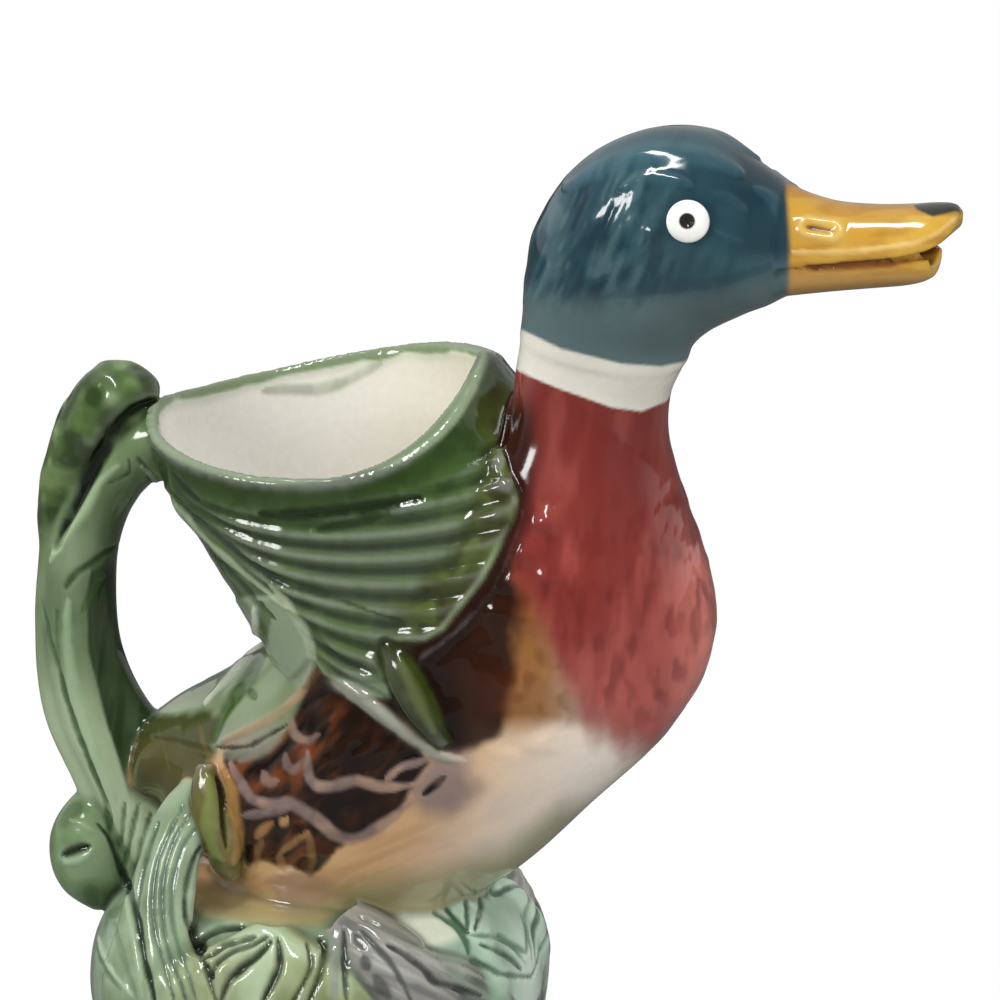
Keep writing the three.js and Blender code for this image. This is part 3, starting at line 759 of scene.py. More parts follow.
# Lines and outlines on the flank sheet
COLLAR_TOP = [(500, 318), (521, 330), (560, 349), (620, 364), (660, 367), (688, 361), (720, 350)]
COLLAR_FOOT = [(490, 358), (515, 370), (560, 389), (610, 408), (640, 412), (668, 401), (700, 385)]
RED_FOOT = [(480, 552), (515, 575), (535, 596), (553, 630), (566, 665), (585, 700), (615, 722), (650, 738),
            (700, 748), (760, 748)]
BELLY_FOOT = [(180, 915), (218, 920), (270, 926), (317, 926), (340, 912), (362, 902), (416, 902), (439, 899),
              (455, 890), (502, 874), (560, 830)]
LEAF_EDGE = [(0, 290), (535, 310), (530, 380), (524, 455), (513, 519), (483, 579), (443, 629), (424, 640),
             (391, 640), (386, 664), (391, 698), (361, 698), (324, 673), (312, 656), (200, 790), (0, 790)]
WING_EDGE = [(222, 752), (262, 740), (292, 712), (312, 684), (324, 676), (361, 700), (400, 732), (420, 748),
             (428, 762), (412, 785), (400, 808), (376, 828), (345, 840), (330, 858), (308, 876), (292, 868),
             (262, 862), (246, 866), (238, 850), (236, 815)]
BACK_EDGE = [(180, 600), (258, 594), (279, 593), (295, 615), (310, 638), (314, 659), (307, 684), (287, 707),
             (258, 725), (227, 741), (214, 752), (175, 742), (120, 735), (100, 680)]
PATCH_EDGE = [(424, 640), (443, 629), (483, 579), (505, 552), (524, 600), (514, 640), (508, 690), (500, 726),
              (493, 738), (475, 747), (442, 750), (426, 746), (384, 708), (372, 655)]
OLIVE_EDGE = [(118, 735), (140, 715), (175, 716), (205, 708), (224, 718), (216, 752), (205, 778), (186, 796),
              (166, 812), (150, 815), (128, 800)]
ROCK_EDGE = [(478, 884), (505, 860), (540, 872), (556, 905), (550, 930), (524, 926), (500, 908)]
NAIL = [(902, 199), (930, 186), (972, 186), (972, 217), (950, 214), (928, 219), (913, 212)]
GROOVE = [(153, 400), (120, 421), (91, 469), (79, 492), (59, 533), (52, 550)]
INNER_EDGE = [(92, 545), (84, 600), (86, 654), (95, 689), (104, 725), (116, 761), (127, 802)]
HEAD_REFLECTION_EDGE = [(500, 290), (599, 301), (655, 292), (718, 285), (777, 267), (830, 250)]
LEAF_SHADE = [(515, 380), (521, 455), (513, 519), (490, 579), (455, 629), (430, 700)]
LOG_TOP = [(340, 906), (357, 916), (400, 936), (429, 947), (466, 958), (498, 977), (520, 1010)]
NOSTRIL = [(805, 229), (816, 231), (829, 233)]
MAUVE = (132, 114, 110)
WARM_VEIN = (174, 142, 114)
UMBER = (26, 10, 4)

# Strokes: group, route, width, rise, colour, strength
STROKES = [
    # Handle
    ("handle", GROOVE, 7, -1.8, (14, 24, 12), 1.0),
    ("handle", [(118, 465), (100, 481), (79, 515), (59, 540), (47, 563)], 5, 0.5, (156, 180, 136), 0.7),
    ("handle", [(114, 546), (104, 552), (90, 563), (72, 576), (63, 588)], 3.5, -0.7, (48, 74, 34), 0.85),
    ("handle", [(100, 578), (90, 590), (80, 612)], 4, -0.3, (70, 100, 50), 0.7),
    ("handle", [(125, 452), (127, 472), (106, 483)], 1.6, -0.2, (40, 60, 34), 0.8),
    ("base", [(38, 600), (45, 632), (54, 664), (63, 700), (74, 736), (88, 770), (100, 800), (107, 842)],
     3, -0.9, (64, 90, 54), 0.85),
    ("base", [(54, 611), (54, 645), (61, 693), (79, 743), (97, 789), (107, 817), (107, 842)], 3, -0.8,
     (70, 98, 58), 0.8),
    ("handle", [(66, 600), (64, 640), (72, 690), (90, 745), (112, 800)], 6, 0.4, (156, 180, 140), 0.6),
    # Leaf stem
    ("leaf", [(145, 477), (174, 511), (216, 554), (257, 597), (279, 618)], 3, -0.7, (38, 54, 34), 0.85),
    ("leaf", [(134, 456), (156, 481), (184, 506), (234, 547), (273, 577), (299, 588), (330, 597)], 2.6, -0.6,
     (44, 54, 46), 0.85),
    ("leaf", [(154, 449), (161, 465), (166, 483)], 5, -0.9, (24, 40, 20), 0.9),
    ("leaf", [(175, 472), (188, 488), (201, 501)], 3, -0.6, (30, 44, 26), 0.85),
    ("leaf", [(209, 511), (231, 527), (250, 533)], 2.2, -0.4, (44, 58, 40), 0.8),
    ("leaf", [(140, 466), (165, 492), (200, 530), (246, 572), (290, 606)], 3.2, 0.6, (164, 184, 150), 0.7),
    ("leaf", [(257, 561), (279, 576), (334, 596), (404, 621)], 2, -0.3, (50, 64, 40), 0.75),
    ("cup", [(262, 513), (300, 514), (350, 510), (419, 498)], 6.5, -0.8, (22, 34, 12), 0.9),
    ("cup", [(318, 529), (350, 523), (390, 512)], 5, -0.3, (30, 46, 16), 0.8),
    ("leaf", [(312, 626), (322, 640), (336, 655)], 4, -0.3, (52, 66, 40), 0.7),
    # Lobe and back
    ("back", [(272, 585), (286, 598), (302, 622), (312, 645), (313, 664), (305, 686)], 4, 0.8,
     (160, 172, 144), 0.8),
    ("back", [(312, 668), (303, 690), (284, 709), (257, 726), (224, 741)], 4, 0.7, (166, 140, 112), 0.8),
    ("back", [(264, 600), (268, 621), (259, 659), (243, 688), (222, 718), (214, 742)], 7, -0.5,
     (58, 82, 34), 0.95),
    ("back", [(258, 605), (259, 629), (246, 655), (226, 682), (205, 706)], 4, 0.8, (196, 204, 184), 0.8),
    ("back", [(250, 690), (256, 700)], 5, 0.0, (60, 84, 38), 0.7),
    ("back", [(217, 748), (247, 746), (266, 736), (287, 724)], 2.5, -0.6, (40, 32, 24), 0.8),
    # Far lip of the cup
    ("wall", [(188, 452), (222, 462), (248, 460), (282, 444)], 6, 0.3, (112, 140, 94), 0.55),
    # Wing
    ("flank", [(291, 718), (293, 733), (306, 740), (318, 734)], 4.5, 0.9, MAUVE, 0.5),
    ("flank", [(285, 754), (287, 766), (296, 769), (306, 758), (308, 750)], 4.5, 0.9, MAUVE, 0.5),
    ("flank", [(308, 752), (308, 775), (316, 785), (331, 786), (354, 780), (379, 786), (401, 786),
               (419, 782)], 5.5, 1.1, MAUVE, 0.82),
    ("flank", [(386, 779), (401, 767), (417, 762), (428, 757)], 4, 0.8, MAUVE, 0.82),
    ("flank", [(230, 764), (241, 783), (251, 798), (268, 804), (289, 803), (304, 811), (321, 823), (337, 836),
               (356, 838), (375, 828), (396, 813), (411, 798)], 6, 1.1, MAUVE, 0.82),
    ("flank", [(243, 815), (264, 813), (289, 807)], 5, 0.9, MAUVE, 0.78),
    ("flank", [(262, 772), (268, 782), (278, 780)], 5, 0.7, (150, 128, 118), 0.5),
    ("flank", [(238, 762), (258, 752), (280, 738)], 4, 0.6, (132, 112, 104), 0.8),
    ("flank", [(312, 660), (324, 675), (361, 702), (396, 728), (420, 744), (440, 750)], 4, 0.7,
     (144, 146, 132), 0.9),
    ("flank", [(440, 752), (452, 756), (465, 760)], 3, 0.3, (188, 180, 164), 0.7),
    ("flank", [(422, 794), (434, 785), (444, 776)], 4.5, -0.9, UMBER, 1.0),
    ("flank", [(397, 775), (410, 773)], 4, -0.6, UMBER, 1.0),
    ("flank", [(256, 838), (264, 828), (272, 822)], 5, 0.8, (172, 126, 80), 0.75),
    ("flank", [(280, 826), (286, 818)], 5, 0.8, (180, 140, 98), 0.75),
    ("flank", [(278, 854), (290, 844), (308, 832)], 4, 0.7, (164, 120, 80), 0.7),
    ("flank", [(254, 868), (257, 851), (262, 840)], 4, 0.0, (160, 118, 78), 0.5),
    ("flank", [(284, 871), (280, 862), (278, 854)], 4.5, 0.0, (160, 118, 78), 0.5),
    ("flank", [(306, 875), (311, 860), (310, 846), (308, 834)], 4, 0.0, (160, 118, 78), 0.5),
    ("flank", [(246, 846), (248, 866)], 6, -0.3, (34, 12, 6), 0.9),
    ("flank", [(270, 846), (272, 856)], 8, -0.3, (48, 22, 8), 0.9),
    ("flank", [(299, 858), (304, 868)], 9, -0.3, (62, 26, 10), 0.95),
    ("flank", [(318, 846), (332, 851)], 8, -0.3, (70, 32, 10), 0.95),
    ("flank", [(294, 826), (300, 832)], 7, -0.3, (36, 14, 6), 0.9),
    # Painted highlight: a lighter strip down the middle of the pod
    ("pod", [(398, 656), (411, 686), (421, 708), (433, 732)], 6, 0.3, (92, 104, 36), 0.35),
    # Curl
    ("curl", [(206, 777), (210, 796), (207, 823), (213, 850), (222, 861)], 7, 0.8, (112, 122, 62), 0.9),
    ("curl", [(222, 770), (231, 789), (234, 814), (237, 846), (231, 864)], 6, 0.9, (150, 114, 62), 0.9),
    ("curl", [(216, 776), (221, 796), (222, 822), (225, 850)], 3, -1.2, (34, 34, 12), 0.95),
    # Reeds and plume
    ("base", [(95, 827), (107, 842), (117, 869), (126, 890), (134, 913), (138, 932), (143, 959), (149, 982),
              (154, 1010)], 4.5, -1.7, (30, 44, 28), 0.95),
    ("base", [(122, 804), (118, 837), (117, 848)], 3, -0.7, (74, 100, 62), 0.8),
    ("base", [(136, 806), (128, 837), (122, 867)], 3, -0.7, (78, 104, 68), 0.8),
    ("base", [(149, 815), (138, 846), (129, 884), (130, 896)], 3, -0.8, (78, 104, 70), 0.8),
    ("base", [(157, 822), (147, 852), (139, 884), (136, 909)], 3.2, -0.9, (66, 90, 62), 0.85),
    ("base", [(182, 806), (166, 837), (155, 867), (151, 905), (155, 938), (166, 976), (176, 1010)], 3.2, -0.9,
     (76, 96, 82), 0.85),
    ("base", [(193, 810), (174, 837), (162, 875), (161, 913), (166, 947), (178, 980), (188, 1010)], 3.2, -0.9,
     (80, 100, 86), 0.85),
    ("base", [(201, 821), (183, 844), (172, 879), (170, 913), (176, 942), (187, 974), (198, 1010)], 3, -0.8,
     (88, 108, 92), 0.8),
    ("base", [(203, 842), (193, 859), (185, 886), (184, 913), (191, 932), (201, 959), (210, 986),
              (218, 1010)], 4, -1.4, (40, 52, 38), 0.9),
    # Painted highlight along the raised midrib of the left leaf
    ("base", [(95, 938), (99, 955), (111, 972), (122, 986), (136, 1000)], 3, 0.6, (166, 186, 156), 0.8),
    ("base", [(92, 946), (97, 962), (108, 978), (120, 992)], 3, -0.5, (84, 108, 76), 0.7),
    ("base", [(111, 925), (126, 970), (137, 1005)], 4, -0.5, (96, 116, 92), 0.6),
    ("base", [(124, 905), (134, 950), (142, 1000)], 3, 0.4, (152, 174, 142), 0.6),
    # Painted shade in the rear bud's recess, and a painted highlight on its lip below
    ("rear", [(58, 858), (72, 852), (86, 848)], 6, -2.2, (12, 18, 14), 0.95),
    ("rear", [(60, 866), (74, 864), (88, 856)], 4, 0.8, (140, 164, 134), 0.7),
    ("rear", [(66, 822), (78, 826), (92, 834)], 3, 0.5, (140, 160, 122), 0.7),
    # Fan
    ("base", [(195, 945), (208, 934), (224, 928), (243, 926)], 4.5, -2.0, (34, 42, 28), 0.78),
    ("base", [(203, 956), (212, 953), (224, 944), (243, 938), (254, 936)], 4.5, -2.0, (38, 46, 30), 0.78),
    ("base", [(210, 978), (216, 963), (231, 951), (250, 944), (266, 936)], 4, -1.8, (40, 50, 32), 0.78),
    ("base", [(219, 1005), (226, 984), (239, 969), (256, 955), (270, 940)], 5.5, -2.4, (34, 42, 30), 0.78),
    ("base", [(260, 1005), (273, 980), (279, 961), (277, 938)], 5.5, -2.4, (36, 46, 30), 0.78),
    ("base", [(289, 1005), (304, 980), (311, 961), (306, 942)], 4, -1.8, (46, 58, 34), 0.75),
    ("base", [(306, 1005), (317, 980), (325, 951), (317, 938)], 5, -2.0, (38, 46, 30), 0.78),
    ("base", [(198, 942), (203, 950)], 6, -1.5, (16, 22, 14), 0.78),
    ("base", [(206, 964), (212, 980)], 5, -1.5, (22, 30, 20), 0.78),
    ("base", [(332, 930), (334, 1005)], 7, 0.4, (128, 134, 126), 0.8),
    ("base", [(342, 930), (346, 1005)], 4, -1.2, (52, 62, 54), 0.85),
    # Logs
    ("base", [(386, 944), (407, 956), (425, 970), (434, 981), (457, 988), (482, 997)], 4.5, -1.6,
     (52, 54, 52), 0.9),
    ("base", [(357, 916), (400, 936), (429, 947), (466, 958), (498, 977)], 3.5, -1.0, (112, 120, 108), 0.6),
    ("base", [(360, 930), (392, 966), (412, 1005)], 4, -1.2, (70, 74, 70), 0.8),
    ("base", [(354, 936), (364, 948)], 7, -0.6, (58, 60, 56), 0.7),
    ("base", [(362, 956), (367, 970)], 7, -0.6, (52, 56, 54), 0.7),
    ("base", [(374, 976), (388, 1000)], 9, -0.6, (62, 68, 66), 0.7),
    ("base", [(420, 957), (450, 966), (480, 978)], 3, 0.4, (168, 166, 158), 0.6),
    # Front leaves and rock
    ("base", [(465, 895), (466, 911), (466, 930)], 3, -1.3, (66, 96, 78), 0.9),
    ("base", [(477, 894), (480, 908), (474, 930)], 3, -1.3, (58, 84, 66), 0.9),
    ("base", [(443, 908), (457, 924), (467, 934)], 3.5, -1.3, (60, 90, 68), 0.9),
    ("base", [(432, 913), (454, 926), (464, 940), (468, 955)], 3.5, -1.2, (84, 118, 92), 0.85),
    ("base", [(479, 945), (496, 951), (511, 960), (521, 971)], 4, -1.5, (60, 88, 68), 0.9),
    ("base", [(470, 936), (492, 937), (512, 948), (526, 966)], 3, -1.0, (92, 128, 102), 0.8),
    ("base", [(471, 961), (489, 969), (505, 976), (531, 979)], 3.5, -1.2, (80, 112, 88), 0.85),
    ("base", [(498, 935), (514, 947), (540, 962)], 3.5, -1.0, (86, 116, 94), 0.8),
    ("base", [(479, 888), (500, 905), (518, 921)], 5, -0.8, (84, 88, 86), 0.8),
    # Head
    ("duck", [(564, 191), (589, 176), (618, 163), (655, 155), (692, 158), (718, 165), (738, 176)], 11, 1.1,
     (70, 104, 116), 0.4),
    ("duck", [(752, 190), (768, 200), (777, 219), (777, 236)], 6, 0.5, (66, 98, 110), 0.4),
    ("duck", [(618, 191), (643, 180), (672, 181), (690, 188)], 6, 0.9, (60, 94, 104), 0.4),
    ("duck", [(711, 194), (728, 201), (744, 213)], 4, 0.5, (52, 84, 96), 0.3),
    ("duck", [(711, 232), (724, 240), (740, 244)], 4, 0.5, (52, 84, 96), 0.3),
    # A dark line along the top of the painted reflection on the lower head
    ("duck", [(599, 299), (655, 290), (718, 283), (777, 265)], 6, 0.0, (30, 56, 68), 0.45),
    # Bill
    ("bill", NOSTRIL, 3, -0.8, (86, 66, 44), 0.95),
    ("bill", [(788, 254), (839, 254), (886, 249), (924, 240), (950, 221)], 3.2, 0.25, (236, 206, 136), 0.55),
    # Painted shade: a dark line for the shadow in the mouth's slit, pressed into the web that closes it
    ("bill", [(802, 270), (855, 267), (896, 264), (917, 260), (940, 254)], 3.6, -1.1, (118, 62, 34), 0.9),
]
# Groups whose strokes are narrower, or less raised or sunk, than the table says
BRUSH = {"base": 0.8, "rear": 0.8}
PRESSED = {"base": 0.7, "flank": 0.25, "rear": 0.6}
# Swollen feathers beside the leaf: place on the sheet and radius
BUBBLES = [(545, 522, 11), (524, 552, 13), (545, 576, 11), (508, 580, 13), (494, 610, 12), (522, 618, 11)]
EYE_PLACE = (689, 219)
CHEEK_PLACE = (652, 235)

# A hand's wobble moves the strokes, and they taper towards both ends
STROKE_REACH = 4
TIP_WIDTH = 0.3
wobble = 3.0 * (cloud(points, 4.5, 321) - 0.5)
drawn = []
for group, route, width, rise, colour, strength in STROKES:
    far, along = line_distance(curved(route), reach=STROKE_REACH * width)
    far = np.maximum(far + wobble, 0)
    taper = TIP_WIDTH + (1 - TIP_WIDTH) * np.sqrt(np.sin(np.pi * along))
    tapered = width * BRUSH.get(group, 1) * taper
    drawn.append((GROUPS[group], far / tapered, rise * PRESSED.get(group, 1), colour, strength))

# Ribs of the leaf cup leave the stalk one below the other and bend forward
RIBS = 11
RIB_FIRST = -2
RIB_LAST = 8.5
RIB_ACROSS = 167
RIB_DOWN = 468
RIB_STEP_ACROSS = 15.2
RIB_STEP_DOWN = 19.4
RIB_DROOP = 50
RIB_DROOP_GROWTH = 1.05
RIB_EASE = 52
RIB_EASE_GROWTH = 6.5
RIB_LIFT = 16
RIB_LIFT_REACH = 260
RIB_LIFT_LAST = 6
rib_lines = []
for start in np.linspace(RIB_FIRST, RIB_LAST, RIBS):
    from_across = RIB_ACROSS + RIB_STEP_ACROSS * start
    from_down = RIB_DOWN + RIB_STEP_DOWN * start
    droop = RIB_DROOP + RIB_DROOP_GROWTH * max(start, 0) ** 2
    ease = RIB_EASE + RIB_EASE_GROWTH * max(start, 0)
    reach_across = np.maximum(across - from_across, 0)
    lift = RIB_LIFT * (reach_across / RIB_LIFT_REACH) ** 3 * (start < RIB_LIFT_LAST)
    rib_lines.append(from_down + droop * (1 - np.exp(-reach_across / ease)) - lift)
rib_lines = np.maximum.accumulate(np.array(rib_lines) + 0.5 * np.arange(RIBS)[:, None], axis=0)
rib_place = np.zeros(count)
for k in range(RIBS - 1):
    gap = np.maximum(rib_lines[k + 1] - rib_lines[k], 1e-3)
    rib_place += np.clip((down - rib_lines[k]) / gap, 0, 1)
rib_wave = np.cos(2 * np.pi * rib_place)
CUP_MIDDLE = -48
CUP_HALF_LENGTH = 62
CUP_HALF_WIDTH = 50
round_angle = np.arctan2(y / CUP_HALF_WIDTH, (x - CUP_MIDDLE) / CUP_HALF_LENGTH)
below_rim = rim_height(round_angle) - z
leaf_edge = outline(LEAF_EDGE)
wing_edge = outline(WING_EDGE)
back_edge = outline(BACK_EDGE)
lower_tier = smooth(-1.5, 1.5, leaf_edge) * smooth(625, 640, down)
lower_tier = lower_tier * smooth(310, 322, across) * smooth(1, -2, back_edge)
rib_reach = np.maximum(across - RIB_ACROSS - 0.78 * (down - RIB_DOWN), 0)
rib_fade = smooth(6, 14, below_rim) * smooth(-2, 14, leaf_edge)
rib_fade = rib_fade * smooth(-5, 25, rib_reach) * smooth(1, -5, back_edge)

# Where the feathers lie, and how they run
breast_grain = brushed(9, 24, 4, 15)
breast_zone = smooth(455, 520, down) * smooth(770, 690, down) * smooth(490, 515, across)
patch_zone = smooth(540, 580, down) * smooth(760, 745, down)
patch_zone = patch_zone * smooth(420, 435, across) * smooth(575, 530, across)
wing_grain = brushed(9, 22, 42, 35)
wing_zone = smooth(-4, 6, wing_edge)
head_grain = brushed(7, 26, 24, 45)
head_zone = smooth(6, -10, below(COLLAR_TOP))
nape_zone = head_zone * smooth(720, 620, across) * smooth(150, 190, down) * smooth(330, 300, down)
eye_far = np.hypot((across - EYE_PLACE[0]) / 1.5, down - EYE_PLACE[1])
socket = np.exp(-((eye_far / 36) ** 2))
cheek = np.exp(-(((across - CHEEK_PLACE[0]) / 10) ** 2 + ((down - CHEEK_PLACE[1]) / 8) ** 2))
log_mask = belongs("log")
log_grain = brushed(50, 6, 29, 71)
stalk_grain = cloud(points / np.array([1, 1, 5.0]), 4.0, 81)
nostril, _ = line_distance(NOSTRIL)

# Relief in millimetres
relief = np.zeros(count)
relief += GROUPS["duck"] * breast_zone * (0.8 * (breast_grain - 0.5) + 0.7 * (cloud(points, 6, 347) - 0.5))
relief += GROUPS["duck"] * patch_zone * 1.6 * (cloud(points, 9, 349) - 0.5)
relief += GROUPS["duck"] * nape_zone * 0.8 * (head_grain - 0.5)
relief += GROUPS["duck"] * head_zone * (1.2 * cheek - 1.4 * socket)
relief += GROUPS["cup"] * (rib_fade * 0.72 * rib_wave + 1.0 * smooth(-3, 3, leaf_edge))
relief += GROUPS["back"] * 0.8 * smooth(-2, 4, back_edge)
relief += GROUPS["flank"] * 0.9 * lower_tier
relief += GROUPS["flank"] * wing_zone * 1.1 * (wing_grain - 0.5)
relief += log_mask * 0.9 * (log_grain - 0.5)
relief += GROUPS["handle"] * 0.5 * (stalk_grain - 0.5)
relief += belongs("handle_bud") * 1.6 * (cloud(points, 7, 85) - 0.5)
relief += GROUPS["bill"] * 0.7 * np.exp(-(((nostril - 8) / 3.5) ** 2))
for place_a, place_d, radius in BUBBLES:
    relief += GROUPS["duck"] * 1.9 * np.exp(-((across - place_a) ** 2 + (down - place_d) ** 2) / radius**2)
for mask, far, rise, _, _ in drawn:
    relief += mask * rise * np.exp(-(far**2))
PRESS_EASE = 0.2
points = points + normals * relief[:, None]
points = points + PRESS_EASE * (spread(points) - points)
points[:, 2] = np.maximum(points[:, 2], 0)
normals = normals_of(points)

# Hollows of the skin, where glaze pools, and ridges, where it thins
BEND_PASSES = 3
WIDE_BEND_PASSES = 14
bend = relaxed(np.sum((spread(points) - points) * normals, axis=1) / GRAIN**2, BEND_PASSES)
wide_bend = relaxed(bend, WIDE_BEND_PASSES)
pool = smooth(0.01, 0.16, bend) * 0.6 + smooth(0.005, 0.06, wide_bend) * 0.6
pool = pool * (1 - 0.85 * smooth(0, 6, back_edge) * belongs("leaf_lobe", "leaf_cup"))
thin = smooth(0.01, 0.14, -bend) * 0.6 + smooth(0.01, 0.08, -wide_bend) * 0.4


# Glaze colours, as seen
def srgb(colour):
    share = np.asarray(colour, float) / 255
    return np.where(share < 0.04045, share / 12.92, ((share + 0.055) / 1.055) ** 2.4)


def over(base, coat, mask):
    return base + (coat - base) * mask[:, None]


def tint(base, colour, mask):
    return over(base, srgb(colour), np.clip(mask, 0, 1))


def flat(colour):
    return np.tile(srgb(colour), (count, 1))


broad = cloud(points, 22, 101)
fine = cloud(points, 6, 111)
streak = brushed(17, 70, 6, 121)
belly_streak = brushed(60, 9, -24, 141)
olive = smooth(-4, 8, outline(OLIVE_EDGE) + 8 * (fine - 0.5))
# Painted light: the base is paler towards its right side, where light falls on it
painted_light_right = 0.85 * smooth(495, 540, across)
rock = smooth(-2, 4, outline(ROCK_EDGE))


def paint_duck():
    colour = flat((208, 167, 121))
    mauve = smooth(0.5, 0.68, cloud(points, 16, 131))
    colour = tint(colour, (150, 120, 112), 0.6 * mauve * smooth(560, 470, across))
    colour = tint(colour, (160, 118, 74), 0.3 * smooth(0.5, 0.72, belly_streak))
    cream = smooth(400, 590, across + 0.55 * (down - 800))
    colour = tint(colour, (248, 238, 224), 0.95 * cream)
    green = smooth(-44, -4, below(BELLY_FOOT) + 14 * (broad - 0.5))
    colour = tint(colour, (138, 142, 96), 0.75 * green)
    gold_foot = smooth(734, 716, down + 26 * (broad - 0.5))
    gold = smooth(618, 530, across - 0.1 * (down - 640)) * smooth(545, 600, down) * gold_foot
    colour = tint(colour, (134, 84, 34), 0.92 * gold)
    colour = tint(colour, (98, 52, 20), 0.5 * gold * smooth(0.6, 0.36, fine))
    red_depth = -below(RED_FOOT) + 16 * (fine - 0.5) + 28 * (streak - 0.5)
    red = smooth(-52, 34, red_depth)
    colour = tint(colour, (112, 44, 39), red)
    colour = tint(colour, (128, 51, 45), red * smooth(430, 600, down))
    colour = tint(colour, (184, 98, 90), 0.9 * red * smooth(590, 730, down))
    colour = tint(colour, (112, 42, 38), 0.4 * red * smooth(0.45, 0.8, streak))
    colour = tint(colour, (170, 88, 80), 0.35 * red * smooth(0.55, 0.2, streak))
    # Painted light: the red grows paler towards the breast's right edge, where side light falls on it
    colour = tint(colour, (214, 126, 114), 0.85 * red * smooth(640, 712, across) * smooth(470, 580, down))
    colour = tint(colour, (104, 36, 32), 0.5 * red * breast_zone * smooth(0.56, 0.24, breast_grain))
    patch = smooth(-9, 9, outline(PATCH_EDGE) + 18 * (fine - 0.5))
    colour = tint(colour, (38, 15, 6), 0.97 * patch)
    colour = tint(colour, (70, 30, 11), 0.6 * patch * smooth(0.45, 0.7, broad) * smooth(450, 500, across))
    colour = tint(colour, (20, 8, 4), 0.9 * patch * smooth(470, 440, across - 0.25 * (down - 690)))
    shade = smooth(26, 3, right_of(LEAF_SHADE))
    colour = tint(colour, (34, 14, 7), 0.92 * shade * smooth(385, 420, down) * smooth(705, 640, down))
    colour = paint_wing(colour)
    colour = tint(colour, (140, 154, 128), smooth(-3, 3, back_edge))
    colour = tint(colour, (112, 128, 100), lower_tier)
    tier_rib = smooth(0.1, 0.9, np.sin(0.42 * (down - 0.55 * across)))
    colour = tint(colour, (74, 86, 70), 0.6 * lower_tier * tier_rib)
    collar = smooth(1.5, -1.5, below(COLLAR_FOOT) + 3 * (broad - 0.5))
    colour = tint(colour, (211, 208, 196), collar)
    head = smooth(1.8, -1.8, below(COLLAR_TOP) + 3 * (broad - 0.5))
    return over(colour, paint_head(), head)


def paint_wing(colour):
    web = np.exp(-(((across - 440) / 48) ** 2 + ((down - 786) / 36) ** 2))
    colour = tint(colour, MAUVE, 0.9 * smooth(0.2, 0.9, web + 0.3 * (fine - 0.5)))
    inside = smooth(-4, 3, wing_edge + 12 * (fine - 0.5))
    colour = tint(colour, (44, 20, 8), 0.97 * inside)
    # Mottled brown glaze; the orange on the raised feather dabs is a painted highlight, and the near-black in
    # the sunk ones a painted shade
    rust_and_highlight = inside * smooth(0.5, 0.72, wing_grain) * smooth(0.74, 0.52, broad)
    colour = tint(colour, (112, 60, 26), 0.85 * rust_and_highlight)
    colour = tint(colour, (18, 7, 3), 0.85 * inside * smooth(0.5, 0.3, wing_grain))
    upper_right = smooth(-40, 0, across - 350 - 0.2 * (740 - down))
    return tint(colour, (20, 8, 4), 0.8 * inside * np.maximum(upper_right, 0.7 * smooth(0.55, 0.7, broad)))


def paint_head():
    colour = flat((48, 78, 86))
    colour = tint(colour, (30, 57, 67), 0.7 * smooth(0.42, 0.6, cloud(points, 17, 151)))
    colour = tint(colour, (24, 46, 56), 0.8 * nape_zone * smooth(0.5, 0.3, head_grain))
    colour = tint(colour, (88, 112, 114), 0.45 * nape_zone * smooth(0.52, 0.7, head_grain))
    colour = tint(colour, (28, 53, 62), 0.4 * smooth(0.5, 0.75, brushed(14, 34, 30, 165)))
    # Painted reflection: the lower head is paler below this line
    low = smooth(-12, 24, 12 * (fine - 0.5) + below(HEAD_REFLECTION_EDGE))
    colour = tint(colour, (98, 116, 116), 0.65 * low)
    colour = tint(colour, (24, 46, 56), 0.7 * smooth(700, 750, across) * smooth(270, 245, down))
    # Painted shadow: darker all around the eye, in its socket
    return tint(colour, (22, 44, 58), 0.65 * np.exp(-((eye_far / 22) ** 4)))


def paint_bill():
    colour = flat((188, 143, 54))
    colour = tint(colour, (206, 168, 72), 0.6 * smooth(0.5, 0.7, cloud(points, 12, 171)))
    colour = tint(colour, (164, 112, 38), 0.6 * smooth(0.5, 0.68, brushed(46, 9, -4, 181)))
    colour = tint(colour, (182, 142, 86), 0.75 * smooth(264, 284, down))
    # Painted highlight: a pale ring round the nostril
    colour = tint(colour, (226, 196, 120), 0.45 * np.exp(-(((nostril - 8) / 4) ** 2)))
    colour = tint(colour, (40, 44, 34), smooth(-1.5, 1.5, outline(NAIL)))
    head = smooth(1.2, -1.2, x - 89.5 - 0.4 * flank - 0.8 * (fine - 0.5))
    return over(colour, paint_head(), head)


